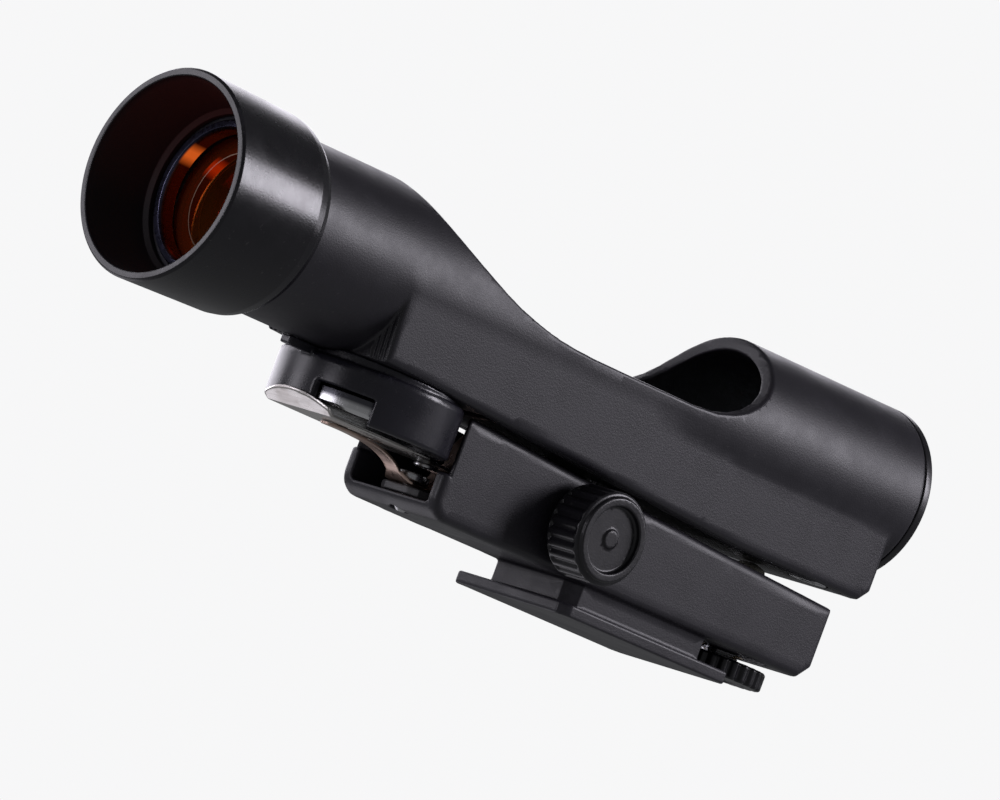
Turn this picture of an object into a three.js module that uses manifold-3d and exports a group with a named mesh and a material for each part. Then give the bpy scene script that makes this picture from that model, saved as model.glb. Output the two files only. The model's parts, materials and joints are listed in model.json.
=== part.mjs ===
// Red dot finder for a small telescope, in millimetres.
// Frame: +X points to the sky end, +Y to the user's left, +Z up. The origin is the
// centre of the foot's flat underside. A place is given as station S, the distance behind
// the hood's mouth, sideways y, and height H from the optical axis.
// A name ending in _S is a station, and one ending in _H is a height.
// Cutting shapes run past the surfaces they open.
import * as THREE from 'three';
import * as BufferGeometryUtils from 'three/addons/utils/BufferGeometryUtils.js';
import Module from 'manifold-3d';

const wasm = await Module();
wasm.setup();

// ------------------------------------------------------- shared dimensions
const AXIS_HEIGHT = 22.8;      // optical axis above the foot's underside
const MOUTH_X = 71.0;          // hood mouth, forward of the foot's centre
const GAP = 0.05;              // clearance between fitted pieces
const TUBE_R = 8.6;
const BORE_R = 7.2;
const SEAT_R = 7.5;            // lens and window seats
const TUBE_FRONT_S = 7.5;      // front end of the tube, inside the hood
const TUBE_REAR_S = 98.0;
// underside of the flat-sided box below the tube: S, H
const BOTTOM = [[26.4, -8.1], [45.7, -8.95], [60, -9.6], [78, -10.4], [95.4, -10.4]];
const COVER_T = 1.0;
const COVER_SCREWS = { station: 90.8, offset: 5.1 };   // one each side, at y = +-offset
const DRUM_SCREWS = { station: 29.3, offset: 4.2 };
const DRUM_S = 33.5;           // battery drum's vertical axis
const DRUM_R = 9.0;
const CLIP_SCREW_S = 43.7;
const SWITCH_S = 61.0;         // brightness knob, on the right
const SWITCH_H = -4.6;
const LED_H = -5.7;
const CHANNEL_HALF_W = 6.7;    // base bracket, outside
const CHANNEL_INNER_HALF_W = CHANNEL_HALF_W - 1.3;
const FLOOR_BOTTOM_H = -19.35;
const SWIVEL_S = 42.5;         // vertical azimuth pivot
const SWIVEL_HALF_W = 3.7;
const PIN_S = 64.0;            // cross pin the sight tilts on
const PIN_H = -13.2;
const PIN_R = 1.0;
const AZ_SCREW_S = 57.8;       // screw through the left wall that sets azimuth
const AZ_SCREW_H = -14.9;
const ALT_SCREW_S = 88.0;      // vertical screw that sets altitude
const ADJUST_R = 2.0;          // adjusting screws
const INSERT_R = 2.56;         // threaded inserts
const INSERT_HOLE_R = 2.6;
const BOSS_TOP_H = -16.4;      // boss round the altitude screw
const WIRE_SIDES = 6;

// --------------------------------------------------------------- materials
const MATERIALS = {
  moulded: { color: 0x1c1b1f, roughness: 0.55 },
  cover: { color: 0x1c1b1f, roughness: 0.6 },
  swivel: { color: 0x242327, roughness: 0.5 },
  hood: { color: 0x161518, roughness: 0.38 },
  satin: { color: 0x161518, roughness: 0.4 },
  satinKnob: { color: 0x161518, roughness: 0.45 },
  satinHolder: { color: 0x161518, roughness: 0.6 },
  lensRing: { color: 0x2a2b33, roughness: 0.3, metalness: 0.1 },
  mirror: { color: 0xc8641e, roughness: 0.05, metalness: 0.3, transparent: true, opacity: 0.6 },
  window: { color: 0xdfe8ea, roughness: 0.05, transparent: true, opacity: 0.35 },
  lamp: { color: 0xd42a1e, roughness: 0.1, transparent: true, opacity: 0.8 },
  mask: { color: 0x111111, roughness: 0.6, metalness: 0.2 },
  board: { color: 0x1e4a2c, roughness: 0.5 },
  resistor: { color: 0x222222, roughness: 0.4 },
  potentiometer: { color: 0x2c4a6e, roughness: 0.5 },
  redWire: { color: 0xa02018, roughness: 0.5 },
  blackWire: { color: 0x151515, roughness: 0.5 },
  pad: { color: 0xd8d4c8, roughness: 0.5 },
  steel: { color: 0xb9bac0, roughness: 0.3, metalness: 0.9 },
  brightSteel: { color: 0xb9bac0, roughness: 0.25, metalness: 0.95 },
  brass: { color: 0xb08a4a, roughness: 0.35, metalness: 0.9 },
  cell: { color: 0xc9c9cc, roughness: 0.25, metalness: 0.95 },
  contact: { color: 0xc9a85a, roughness: 0.35, metalness: 0.9 },
  clip: { color: 0xb5b2ad, roughness: 0.35, metalness: 0.9 },
  leaf: { color: 0xb69a86, roughness: 0.35, metalness: 0.9 },
};

// ----------------------------------------------------------------- helpers
const xAt = (station) => MOUTH_X - station;
const zAt = (height) => AXIS_HEIGHT + height;
const join = (...shapes) => shapes.reduce((whole, shape) => whole.add(shape));
const cut = (body, ...cutters) => cutters.reduce((rest, cutter) => rest.subtract(cutter), body);

// Turns a closed geometry into a solid, with its faces made to point outwards.
function solid(geometry) {
  geometry.deleteAttribute('normal');
  geometry.deleteAttribute('uv');
  const merged = BufferGeometryUtils.mergeVertices(geometry, 1e-5);
  const vertProperties = new Float32Array(merged.attributes.position.array);
  const triVerts = new Uint32Array(merged.index.array);
  const corner = (i) => new THREE.Vector3().fromArray(vertProperties, triVerts[i] * 3);
  let volume = 0;
  for (let i = 0; i < triVerts.length; i += 3) {
    volume += corner(i).dot(corner(i + 1).cross(corner(i + 2)));
  }
  if (volume < 0) {
    for (let i = 0; i < triVerts.length; i += 3) {
      triVerts.subarray(i + 1, i + 3).reverse();
    }
  }
  return new wasm.Manifold(new wasm.Mesh({ numProp: 3, vertProperties, triVerts }));
}

function box(front, rear, right, left, low, high) {
  const geometry = new THREE.BoxGeometry(rear - front, left - right, high - low);
  geometry.translate(xAt((front + rear) / 2), (right + left) / 2, zAt((low + high) / 2));
  return solid(geometry);
}

// Cylinders along each axis.
function rodX(radius, front, rear, y = 0, height = 0, segments = 56) {
  const geometry = new THREE.CylinderGeometry(radius, radius, rear - front, segments);
  geometry.rotateZ(Math.PI / 2);
  geometry.translate(xAt((front + rear) / 2), y, zAt(height));
  return solid(geometry);
}
function rodY(radius, right, left, station, height, segments) {
  const geometry = new THREE.CylinderGeometry(radius, radius, left - right, segments);
  geometry.translate(xAt(station), (right + left) / 2, zAt(height));
  return solid(geometry);
}
function rodZ(radius, low, high, station, y, segments) {
  const geometry = new THREE.CylinderGeometry(radius, radius, high - low, segments);
  geometry.rotateX(Math.PI / 2);
  geometry.translate(xAt(station), y, zAt((low + high) / 2));
  return solid(geometry);
}
// Two vertical rods, left then right.
function rodPair(radius, low, high, { station, offset }, segments) {
  return [offset, -offset].map((y) => rodZ(radius, low, high, station, y, segments));
}

// Turns a profile of [distance along the axis, radius], closing it unless it ends on the axis.
function turned(profile, segments) {
  const points = profile.map(([along, radius]) => new THREE.Vector2(radius, along));
  if (points[0].x !== 0 || points.at(-1).x !== 0) points.push(points[0].clone());
  return new THREE.LatheGeometry(points, segments);
}
// profile: S, radius about the optical axis
function turnX(profile, segments) {
  const geometry = turned(profile.map(([station, radius]) => [-station, radius]), segments);
  geometry.rotateZ(-Math.PI / 2);
  geometry.translate(MOUTH_X, 0, AXIS_HEIGHT);
  return solid(geometry);
}
// profile: y, radius about a crosswise axis
function turnY(profile, station, height, segments) {
  return solid(turned(profile, segments).translate(xAt(station), 0, zAt(height)));
}
// profile: H, radius about a vertical axis
function turnZ(profile, station, y, segments) {
  const geometry = turned(profile, segments);
  geometry.rotateX(Math.PI / 2);
  geometry.translate(xAt(station), y, AXIS_HEIGHT);
  return solid(geometry);
}

function extrude(points, depth) {
  return new THREE.ExtrudeGeometry(new THREE.Shape(points), { depth, bevelEnabled: false });
}
// outline: S, H
function side(outline, right, left) {
  const points = outline.map(([station, height]) => new THREE.Vector2(xAt(station), zAt(height)));
  const geometry = extrude(points, left - right);
  geometry.rotateX(Math.PI / 2);
  geometry.translate(0, left, 0);
  return solid(geometry);
}
// outline: S, y
function plan(outline, low, high) {
  const points = outline.map(([station, y]) => new THREE.Vector2(xAt(station), y));
  return solid(extrude(points, high - low).translate(0, 0, zAt(low)));
}
// right half of an outline, front to rear: S, y
function symmetricPlan(half, low, high) {
  const mirrored = half.map(([station, y]) => [station, -y]).reverse();
  return plan([...half, ...mirrored], low, high);
}
function chamferedPlate(front, rear, halfWidth, chamfer, low, high) {
  return symmetricPlan([
    [front, chamfer - halfWidth], [front + chamfer, -halfWidth],
    [rear - chamfer, -halfWidth], [rear, chamfer - halfWidth],
  ], low, high);
}

// Round wire along a curve.
function sweep(curve, radius, steps) {
  const ring = Array.from({ length: WIRE_SIDES }, (_, i) => {
    const angle = (i / WIRE_SIDES) * Math.PI * 2;
    return new THREE.Vector2(radius * Math.cos(angle), radius * Math.sin(angle));
  });
  const options = { steps, bevelEnabled: false, extrudePath: curve };
  return solid(new THREE.ExtrudeGeometry(new THREE.Shape(ring), options));
}
// points: S, y, H
function wire(points, radius, steps) {
  const places = points.map(([station, y, height]) => (
    new THREE.Vector3(xAt(station), y, zAt(height))
  ));
  return sweep(new THREE.CatmullRomCurve3(places), radius, steps);
}

// Fluted disc standing on z = 0.
function flutedDisc(radius, fluteDepth, count, thickness) {
  const halfPitch = Math.PI / count;
  // angle in half pitches, depth below the rim
  const flute = [[-0.55, 0], [0.1, 0], [0.45, fluteDepth], [1.0, fluteDepth]];
  const points = [];
  for (let i = 0; i < count; i++) {
    for (const [turn, depth] of flute) {
      const angle = (i / count) * Math.PI * 2 + turn * halfPitch;
      const reach = radius - depth;
      points.push(new THREE.Vector2(reach * Math.cos(angle), reach * Math.sin(angle)));
    }
  }
  return extrude(points, thickness);
}

// Height of the box's underside at a station behind its first point.
function bottomAt(station) {
  const next = BOTTOM.findIndex(([limit]) => station <= limit);
  const [front, frontHeight] = BOTTOM[next - 1];
  const [rear, rearHeight] = BOTTOM[next];
  return frontHeight + ((station - front) / (rear - front)) * (rearHeight - frontHeight);
}

const group = new THREE.Group();
group.name = 'red_dot_finder';

function addPart(name, finish, shape) {
  const { vertProperties, triVerts } = shape.getMesh();
  const geometry = new THREE.BufferGeometry();
  geometry.setAttribute('position', new THREE.BufferAttribute(new Float32Array(vertProperties), 3));
  geometry.setIndex(new THREE.BufferAttribute(new Uint32Array(triVerts), 1));
  geometry.computeVertexNormals();
  const material = new THREE.MeshStandardMaterial({ name: `${name}_material`, ...finish });
  const mesh = new THREE.Mesh(geometry, material);
  mesh.name = name;
  group.add(mesh);
  return mesh;
}

// ----------------------------------------------------------- upper housing
const BOX_HALF_W = 8.55;
const BOX_REAR_HALF_W = 8.0;
// top edge of the side walls between the front and the rear tube: S, H
const SADDLE = [
  [26.3, 9.4], [26.3, 8.62], [27.5, 7.85], [28.4, 7.25], [29.5, 6.5], [30.9, 5.65], [32.5, 4.78],
  [34.3, 3.9], [36.2, 3.08], [38.2, 2.28], [40.2, 1.63], [42.3, 1.12], [44.3, 0.72], [46.3, 0.43],
  [48.5, 0.25], [51, 0.14], [56, 0.1], [65.5, 0.1], [68.5, 0.32], [70.6, 0.85], [72.3, 1.6],
  [73.7, 2.6], [74.8, 3.8], [75.6, 5.2], [76.1, 6.8], [76.3, 8.62], [76.3, 9.4],
];

// Block of the bottom cover's plan, its top following the box's underside.
function coverBlock(grow, rise) {
  const front = 44 - grow;
  const rear = 93.6 + grow;
  return side([
    [front, -12], [rear, -12], [rear, bottomAt(93) + rise],
    ...[78, 60, 45.7].map((station) => [station, bottomAt(station) + rise]),
    [front, bottomAt(44) + rise],
  ], -7.3 - grow, 7.3 + grow);
}

function lowerBox() {
  const outline = side([[25.8, 0], ...BOTTOM, [96.6, -9.2], [96.6, 0]], -10, 10);
  return outline.intersect(symmetricPlan([
    [20, -BOX_HALF_W], [60, -BOX_HALF_W], [74, -BOX_REAR_HALF_W], [100, -BOX_REAR_HALF_W],
  ], -14, 4));
}

// Bay under the trough, open at the bottom, with posts left for the cover screws.
function electronicsBay() {
  return cut(
    side([[29.5, -4], [29.5, -7.3], [44, -7.3], [44, -12], [93.5, -12], [93.5, -4]], -7.2, 7.2),
    rodX(TUBE_R - 0.3, 20, 99),
    ...rodPair(2.3, -20, 10, COVER_SCREWS, 20),
  );
}

function upperHousing() {
  const shell = cut(
    join(rodX(TUBE_R, TUBE_FRONT_S, TUBE_REAR_S), lowerBox()),
    rodX(BORE_R, TUBE_FRONT_S - 1, TUBE_REAR_S + 1),
    rodX(SEAT_R, TUBE_FRONT_S - 1, 11.4),
    rodX(SEAT_R, 93.6, TUBE_REAR_S + 1),
    side([...SADDLE, [76.3, 14], [26.3, 14]], -12, 12),
    electronicsBay(),
    coverBlock(0.08, COVER_T + GAP),
  );
  return cut(
    // hollow pod on the inside of the right wall, for the potentiometer
    join(shell, box(SWITCH_S - 5.6, SWITCH_S + 5.6, -8.0, -3.6, -8.2, -0.2)),
    box(SWITCH_S - 4.6, SWITCH_S + 4.6, -7.3, -4.4, -12, -0.7),
    rodY(1.75, -10, -7, SWITCH_S, SWITCH_H, 24),
    // slot for the lamp holder
    box(66.9, 75.4, -2.1, 2.1, -9.5, -6.4),
    // wire groove from the battery drum, branching to both sides
    box(33.5, 43.6, -1.4, 1.4, -12, -8.05),
    box(41.4, 43.6, -6.6, 6.6, -12, -7.6),
    box(41.4, 43.6, 4.4, 6.6, -12, -7.0),
    box(41.4, 43.6, -6.6, -4.4, -12, -7.0),
    ...rodPair(0.85, -12, -7.5, DRUM_SCREWS, 12),
    ...rodPair(0.85, -14, -5.6, COVER_SCREWS, 12),
  );
}
addPart('upper_housing', MATERIALS.moulded, upperHousing());

// ---------------------------------------------------------- hood and optics
const HOOD_R = 10.15;          // near its mouth
const HOOD_INNER_R = 9.35;
const HOOD_LENGTH = 13.1;
const HOOD_FIT_R = TUBE_R + 0.06;
const LENS_RING_R = SEAT_R - 0.06;
const WINDOW_R = SEAT_R - 0.08;
const EYE_RING_SEAT_S = TUBE_REAR_S + 0.05;

addPart('front_hood', MATERIALS.hood, turnX([
  [0, HOOD_INNER_R], [0, HOOD_R - 0.2], [0.25, HOOD_R], [11.0, 9.85], [11.9, 9.7], [12.6, 9.35],
  [13.0, 8.95], [HOOD_LENGTH, HOOD_FIT_R], [7.4, HOOD_FIT_R], [7.4, 7.9], [6.9, 7.9], [6.6, 8.4],
], 60));

addPart('lens_retaining_ring', MATERIALS.lensRing, turnX([
  [6.9, 6.75], [6.9, 7.3], [7.1, LENS_RING_R], [8.6, LENS_RING_R], [8.6, 6.5], [7.3, 6.5],
], 48));

// Dished mirror lens, concave towards the eye, tilted to fold the lamp's light back.
function reflectorLens() {
  const curvatureRadius = 116;
  const lensRadius = 7.1;
  const thickness = 1.4;
  const bands = 3;
  const rearFace = [];
  for (let i = 0; i <= bands; i++) {
    const radius = (lensRadius * i) / bands;
    rearFace.push([-radius * radius / (2 * curvatureRadius), radius]);
  }
  const frontFace = rearFace.map(([along, radius]) => [along + thickness, radius]).reverse();
  const geometry = turned([...rearFace, ...frontFace], 48);
  geometry.translate(0, -thickness / 2, 0);
  geometry.rotateZ(-Math.PI / 2);
  geometry.rotateY(THREE.MathUtils.degToRad(-2.7));
  geometry.translate(xAt(9.85), 0, AXIS_HEIGHT);
  return solid(geometry);
}
addPart('reflector_lens', MATERIALS.mirror, reflectorLens()).renderOrder = 1;

addPart('rear_window', MATERIALS.window, rodX(WINDOW_R, 93.75, 95.0, 0, 0, 48));

addPart('rear_eye_ring', MATERIALS.satin, turnX([
  [95.1, WINDOW_R], [EYE_RING_SEAT_S, WINDOW_R], [EYE_RING_SEAT_S, TUBE_R],
  [98.9, TUBE_R], [99.3, TUBE_R - 0.4], [99.3, 6.7], [98.6, 6.3], [95.1, 6.3],
], 48));

// ------------------------------------------------------------ bottom cover
const LUG_T = 1.2;
// lug that hangs from the cover round the tilt pin: S, H
const LUG = [
  [61.2, -9.2], [61.2, -13.2], [61.6, -14.6], [62.7, -15.6], [64, -15.95], [65.3, -15.6],
  [66.4, -14.6], [66.8, -13.2], [66.8, -9.6],
];
const pinHole = () => rodY(PIN_R + GAP, -6, 6, PIN_S, PIN_H, 24);

function bottomCover() {
  const belowBox = side([
    [40, -20], [98, -20], [98, -10.4], [78, -10.4], [60, -9.6], [45.7, -8.95], [40, -8.7],
  ], -9, 9);
  const lugs = [-4.2, 3.0].map((right) => side(LUG, right, right + LUG_T));
  return cut(
    join(cut(coverBlock(-GAP, COVER_T - GAP), belowBox), ...lugs),
    pinHole(),
    ...rodPair(1.2, -14, -5, COVER_SCREWS, 20),
    ...rodPair(2.1, -14, bottomAt(COVER_SCREWS.station) + 0.45, COVER_SCREWS, 20),
  );
}
addPart('bottom_cover', MATERIALS.cover, bottomCover());
addPart('altitude_pin', MATERIALS.steel, rodY(PIN_R, -4.3, 4.3, PIN_S, PIN_H, 24));

// Countersunk screw with a cross recess.
function coverScrew(station, y) {
  const face = bottomAt(station);
  return cut(
    turnZ([
      [face, 0], [face, 1.6], [face + 0.38, 1.9], [face + 0.38, 0.8], [face + 3.2, 0.8],
      [face + 3.2, 0],
    ], station, y, 20),
    box(station - 1.2, station + 1.2, y - 0.18, y + 0.18, face - 0.5, face + 0.25),
    box(station - 0.18, station + 0.18, y - 1.2, y + 1.2, face - 0.5, face + 0.25),
  );
}
[1, -1].forEach((sign, i) => {
  const screw = coverScrew(COVER_SCREWS.station, sign * COVER_SCREWS.offset);
  addPart(`cover_screw_${i + 1}`, MATERIALS.steel, screw);
});

// ------------------------------------------------------------ battery drum
const DRUM_TOP_H = -9.0;
const DRUM_BOTTOM_H = -13.6;
const CELL_R = 8.0;
const CELL_T = 2.0;
const CELL_BOTTOM_H = -13.35;

// Block that stands for the sloping housing above the drum.
function housingAboveDrum() {
  return side([[20, -5], [20, -7.85], [45.7, -9.0], [48, -9.1], [48, -5]], -12, 12);
}

function batteryDrum() {
  const drum = join(
    turnZ([
      [DRUM_TOP_H, 0], [DRUM_TOP_H, DRUM_R - 0.5], [DRUM_TOP_H - 0.5, DRUM_R],
      [DRUM_BOTTOM_H, DRUM_R], [DRUM_BOTTOM_H, 0],
    ], DRUM_S, 0, 56),
    cut(rodZ(8.3, DRUM_TOP_H - 0.5, -7, DRUM_S, 0, 48), housingAboveDrum()),
    // locating tongue under the tube, at the drum's front
    box(21.4, 27.0, -0.7, 0.7, -9.45, -8.2),
    // rear lug for the clip screw
    plan([
      [41, -1.5], [43.7, -1.5], [44.6, -1.1], [45.1, 0], [44.6, 1.1], [43.7, 1.5], [41, 1.5],
    ], -14.0, -9.2),
  );
  return cut(
    drum,
    housingAboveDrum(),
    rodX(TUBE_R + GAP, 10, 60),
    rodZ(CELL_R + 0.25, -20, -10.2, DRUM_S, 0, 48),
    // wedge-shaped notch in the rim, front left
    plan([
      [DRUM_S - 2, 2.5], [DRUM_S - 14, 1.95], [DRUM_S - 14, 14.2], [DRUM_S - 10.55, 14.2],
    ], -20, -11.5),
    // chamfer across the lower front
    side([[22.0, -11.03], [26.4, -14.27], [26.4, -15], [22.0, -15]], -10, 10),
    ...rodPair(1.2, -12, -7, DRUM_SCREWS, 16),
    ...rodPair(2.05, -12, -9.7, DRUM_SCREWS, 16),
    rodZ(0.65, -20, -11.6, CLIP_SCREW_S, 0, 12),
    // opening for the two wires
    box(35.0, 37.9, -0.9, 0.9, -11, -7),
  );
}
addPart('battery_drum', MATERIALS.satin, batteryDrum());

[1, -1].forEach((sign, i) => {
  addPart(`drum_screw_${i + 1}`, MATERIALS.steel, turnZ([
    [-10.15, 0], [-10.15, 1.85], [-9.75, 1.85], [-9.75, 0.8], [-7.75, 0.8], [-7.75, 0],
  ], DRUM_SCREWS.station, sign * DRUM_SCREWS.offset, 16));
});

addPart('coin_cell', MATERIALS.cell, turnZ([
  [CELL_BOTTOM_H, 0], [CELL_BOTTOM_H, CELL_R - 0.3], [-13.05, CELL_R], [-11.65, CELL_R],
  [-11.65, CELL_R - 0.55], [CELL_BOTTOM_H + CELL_T, CELL_R - 0.8], [CELL_BOTTOM_H + CELL_T, 0],
], DRUM_S, 0, 40));

// sprung dish above the cell
addPart('positive_contact', MATERIALS.contact, turnZ([
  [-11.2, 0], [-11.2, 1.6], [-10.55, 4.4], [-10.55, 5.2], [-10.3, 5.2], [-10.3, 4.3],
  [-10.9, 1.5], [-10.9, 0],
], DRUM_S, 0, 32));

// Strip that holds the cell up from below, its front bent up along the drum's chamfer.
function batteryClip() {
  const bent = side([
    [24.0, -12.93], [26.0, -14.4], [45.2, -14.4], [45.2, -14.05], [26.03, -14.05], [24.3, -12.78],
  ], -4.5, 4.5);
  const outline = symmetricPlan([
    [23, -4.5], [39.6, -4.5], [42.4, -1.7], [45.2, -1.7],
  ], -16, -11);
  const outsideDrum = cut(
    box(22.0, 30.0, -6, 6, -16, -11),
    rodZ(DRUM_R + 0.25, -17, -10, DRUM_S, 0, 64),
  );
  return cut(
    bent.intersect(outline),
    rodZ(0.95, -16, -12, CLIP_SCREW_S, 0, 16),
    outsideDrum,
  );
}
addPart('battery_clip', MATERIALS.clip, batteryClip());

addPart('battery_clip_screw', MATERIALS.steel, turnZ([
  [-14.85, 0], [-14.85, 1.1], [-14.65, 1.3], [-14.44, 1.3], [-14.44, 0.6], [-12.0, 0.6],
  [-12.0, 0],
], CLIP_SCREW_S, 0, 16));

// -------------------------------------------------------- lamp and circuit
const LAMP_S = 68.9;           // centre of the lamp's domed front
const LAMP_R = 1.5;
// right and left wires, from the drum to the sides of the bay: S, distance from y = 0, H
const CELL_WIRE = [
  [36.0, 0.45, -9.9], [36.0, 0.45, -9.0], [36.6, 0.45, -8.5], [37.8, 0.45, -8.33],
  [41.4, 0.5, -8.33], [42.5, 1.4, -8.2], [42.5, 4.4, -7.8], [43.6, 6.2, -6.6], [47.0, 6.75, -5.9],
];

addPart('circuit_board', MATERIALS.board, cut(
  box(75.6, 88.6, -5.6, 5.6, -9.3, -8.7),
  ...rodPair(2.4, -12, -6, COVER_SCREWS, 16),
));
addPart('resistor', MATERIALS.resistor, box(84.0, 86.0, 3.2, 5.0, -8.65, -8.05));

addPart('lamp_holder', MATERIALS.satinHolder, cut(
  side([
    [67.0, -8.6], [67.0, -4.0], [67.4, -3.7], [70.8, -3.7], [72.0, -5.4], [72.0, -8.6],
  ], -2.0, 2.0),
  rodX(1.58, 66.5, 73, 0, LED_H, 24),
));
addPart('lamp', MATERIALS.lamp, join(
  solid(new THREE.SphereGeometry(LAMP_R, 16, 8).translate(xAt(LAMP_S), 0, zAt(LED_H))),
  rodX(LAMP_R, LAMP_S, 71.6, 0, LED_H, 16),
));
addPart('pinhole_mask', MATERIALS.mask, cut(
  rodX(1.42, 66.62, 66.92, 0, LED_H, 20),
  rodX(0.3, 66, 68, 0, LED_H, 8),
));
[0.6, -0.6].forEach((y, i) => {
  addPart(`lamp_lead_${i + 1}`, MATERIALS.steel, wire([
    [71.7, y, LED_H], [72.4, y, -6.1], [72.9, y, -7.4], [74.0, y, -8.5], [75.4, y, -8.5],
    [77.2, y, -8.5],
  ], 0.14, 14));
});

addPart('potentiometer_case', MATERIALS.potentiometer, cut(
  box(SWITCH_S - 4.4, SWITCH_S + 4.4, -7.15, -4.55, -8.3, -0.9),
  rodY(1.6, -8, -5.0, SWITCH_S, SWITCH_H, 24),
));
addPart('potentiometer_wiper', MATERIALS.brass, turnY([
  [-5.05, 0], [-5.05, 1.5], [-7.05, 1.5], [-7.05, 0.9], [-7.4, 0.9], [-7.4, 0],
], SWITCH_S, SWITCH_H, 24));

function cellWire(sign, end) {
  const route = CELL_WIRE.map(([station, offset, height]) => [station, sign * offset, height]);
  return wire([...route, end], 0.22, 26);
}
addPart('supply_wire', MATERIALS.redWire, cellWire(1, [56, 6.8, -5.6]));
addPart('return_wire', MATERIALS.blackWire, cellWire(-1, [55.0, -6.7, -5.6]));

// Brightness knob: dished outer face with a raised bar, and a bored stub on the inner side.
function brightnessKnob() {
  const inner = -9.0;
  const outer = -12.6;
  const dished = cut(
    turnY([
      [outer, 0], [outer, 4.3], [outer + 0.4, 4.7], [inner, 5.0], [inner, 0],
    ], SWITCH_S, SWITCH_H, 48),
    turnY([
      [outer - 1, 0], [outer - 1, 3.6], [outer + 0.5, 3.6], [outer + 0.5, 0],
    ], SWITCH_S, SWITCH_H, 40),
  );
  const bar = box(
    SWITCH_S - 0.35, SWITCH_S + 0.35, outer + 0.05, outer + 0.8, SWITCH_H + 0.6, SWITCH_H + 3.4,
  );
  const stub = rodY(1.45, inner - 0.2, -8.0, SWITCH_S, SWITCH_H, 24);
  return cut(join(dished, bar, stub), rodY(0.95, -8.8, -7, SWITCH_S, SWITCH_H, 20));
}
addPart('brightness_knob', MATERIALS.satinKnob, brightnessKnob());

// ---------------------------------------------- swivel block and leaf spring
const SWIVEL_BOTTOM_H = -17.85;

function swivelBlock() {
  const pivotTab = symmetricPlan([
    [40.9, -1.5], [41.5, -2.6], [42.5, -3.1], [48.2, -3.4],
  ], SWIVEL_BOTTOM_H, -17.0);
  const body = side([
    [47.8, SWIVEL_BOTTOM_H], [47.8, -14.2], [49.4, -12.6], [59.4, -12.2], [59.4, SWIVEL_BOTTOM_H],
  ], -SWIVEL_HALF_W, SWIVEL_HALF_W);
  const pinEnd = side([
    [59.0, SWIVEL_BOTTOM_H], [59.0, -12.2], [62.2, -11.2], [63.3, -10.7], [64.7, -10.7],
    [66.1, -11.6], [66.6, -13.2], [66.1, -14.8], [64.8, -16.2], [61.5, SWIVEL_BOTTOM_H],
  ], -2.75, 2.75);
  return cut(
    join(pivotTab, body, pinEnd),
    rodZ(1.1, -19, -15, SWIVEL_S, 0, 24),
    pinHole(),
    // pocket for the azimuth spring
    rodY(1.75, -5, -0.7, AZ_SCREW_S, AZ_SCREW_H, 24),
  );
}
addPart('swivel_block', MATERIALS.swivel, swivelBlock());

// one face of the leaf spring, front to rear: S, H
const LEAF_LINE = [
  [29.5, -14.78], [33.0, -14.75], [36.4, -14.95], [38.7, -15.55], [40.2, -16.45], [41.2, -16.9],
  [43.9, -16.9], [44.6, -16.5], [45.4, -15.5], [46.4, -13.2], [47.4, -11.2], [48.4, -10.1],
  [49.6, -9.75], [51.6, -9.85],
];
const LEAF_T = 0.3;

// Sprung strip: its front arm lifts the drum, its rear arm lifts the cover.
function leafSpring() {
  const otherFace = LEAF_LINE.map(([station, height], i) => {
    const before = LEAF_LINE[Math.max(0, i - 1)];
    const after = LEAF_LINE[Math.min(LEAF_LINE.length - 1, i + 1)];
    const run = after[0] - before[0];
    const rise = after[1] - before[1];
    const length = Math.hypot(run, rise);
    return [station - (rise / length) * LEAF_T, height + (run / length) * LEAF_T];
  });
  const outline = symmetricPlan([
    [29.3, -1.0], [39.9, -1.0], [41.0, -1.96], [44.0, -1.96], [45.2, -1.0], [51.8, -1.0],
  ], -19, -8);
  const bent = side([...LEAF_LINE, ...otherFace.reverse()], -2.0, 2.0);
  return cut(bent.intersect(outline), rodZ(1.15, -18, -16, SWIVEL_S, 0, 24));
}
addPart('leaf_spring', MATERIALS.leaf, leafSpring());

// ------------------------------------------------------------ base bracket
const CHANNEL_FRONT_S = 40.0;
const CHANNEL_REAR_S = 94.0;
const FLOOR_TOP_H = -17.95;
const FOOT_TOP_H = -21.6;
const AZ_BOSS = [CHANNEL_INNER_HALF_W - 0.5, CHANNEL_HALF_W + 0.25];   // inner and outer y
// outside of the channel, from the top front: S, H
const CHANNEL_OUTLINE = [
  [CHANNEL_FRONT_S + 0.1, -9.6], [CHANNEL_FRONT_S + 0.5, -9.25], [47, -9.6], [60, -10.35],
  [78, -11.3], [CHANNEL_REAR_S, -12.0], [CHANNEL_REAR_S, FLOOR_BOTTOM_H + 1.4],
  [CHANNEL_REAR_S - 1.4, FLOOR_BOTTOM_H], [CHANNEL_FRONT_S + 2.2, FLOOR_BOTTOM_H],
  [CHANNEL_FRONT_S + 0.9, FLOOR_BOTTOM_H + 0.45], [CHANNEL_FRONT_S + 0.2, FLOOR_BOTTOM_H + 1.3],
  [CHANNEL_FRONT_S, FLOOR_BOTTOM_H + 2.2], [CHANNEL_FRONT_S, -9.9],
];

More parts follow.
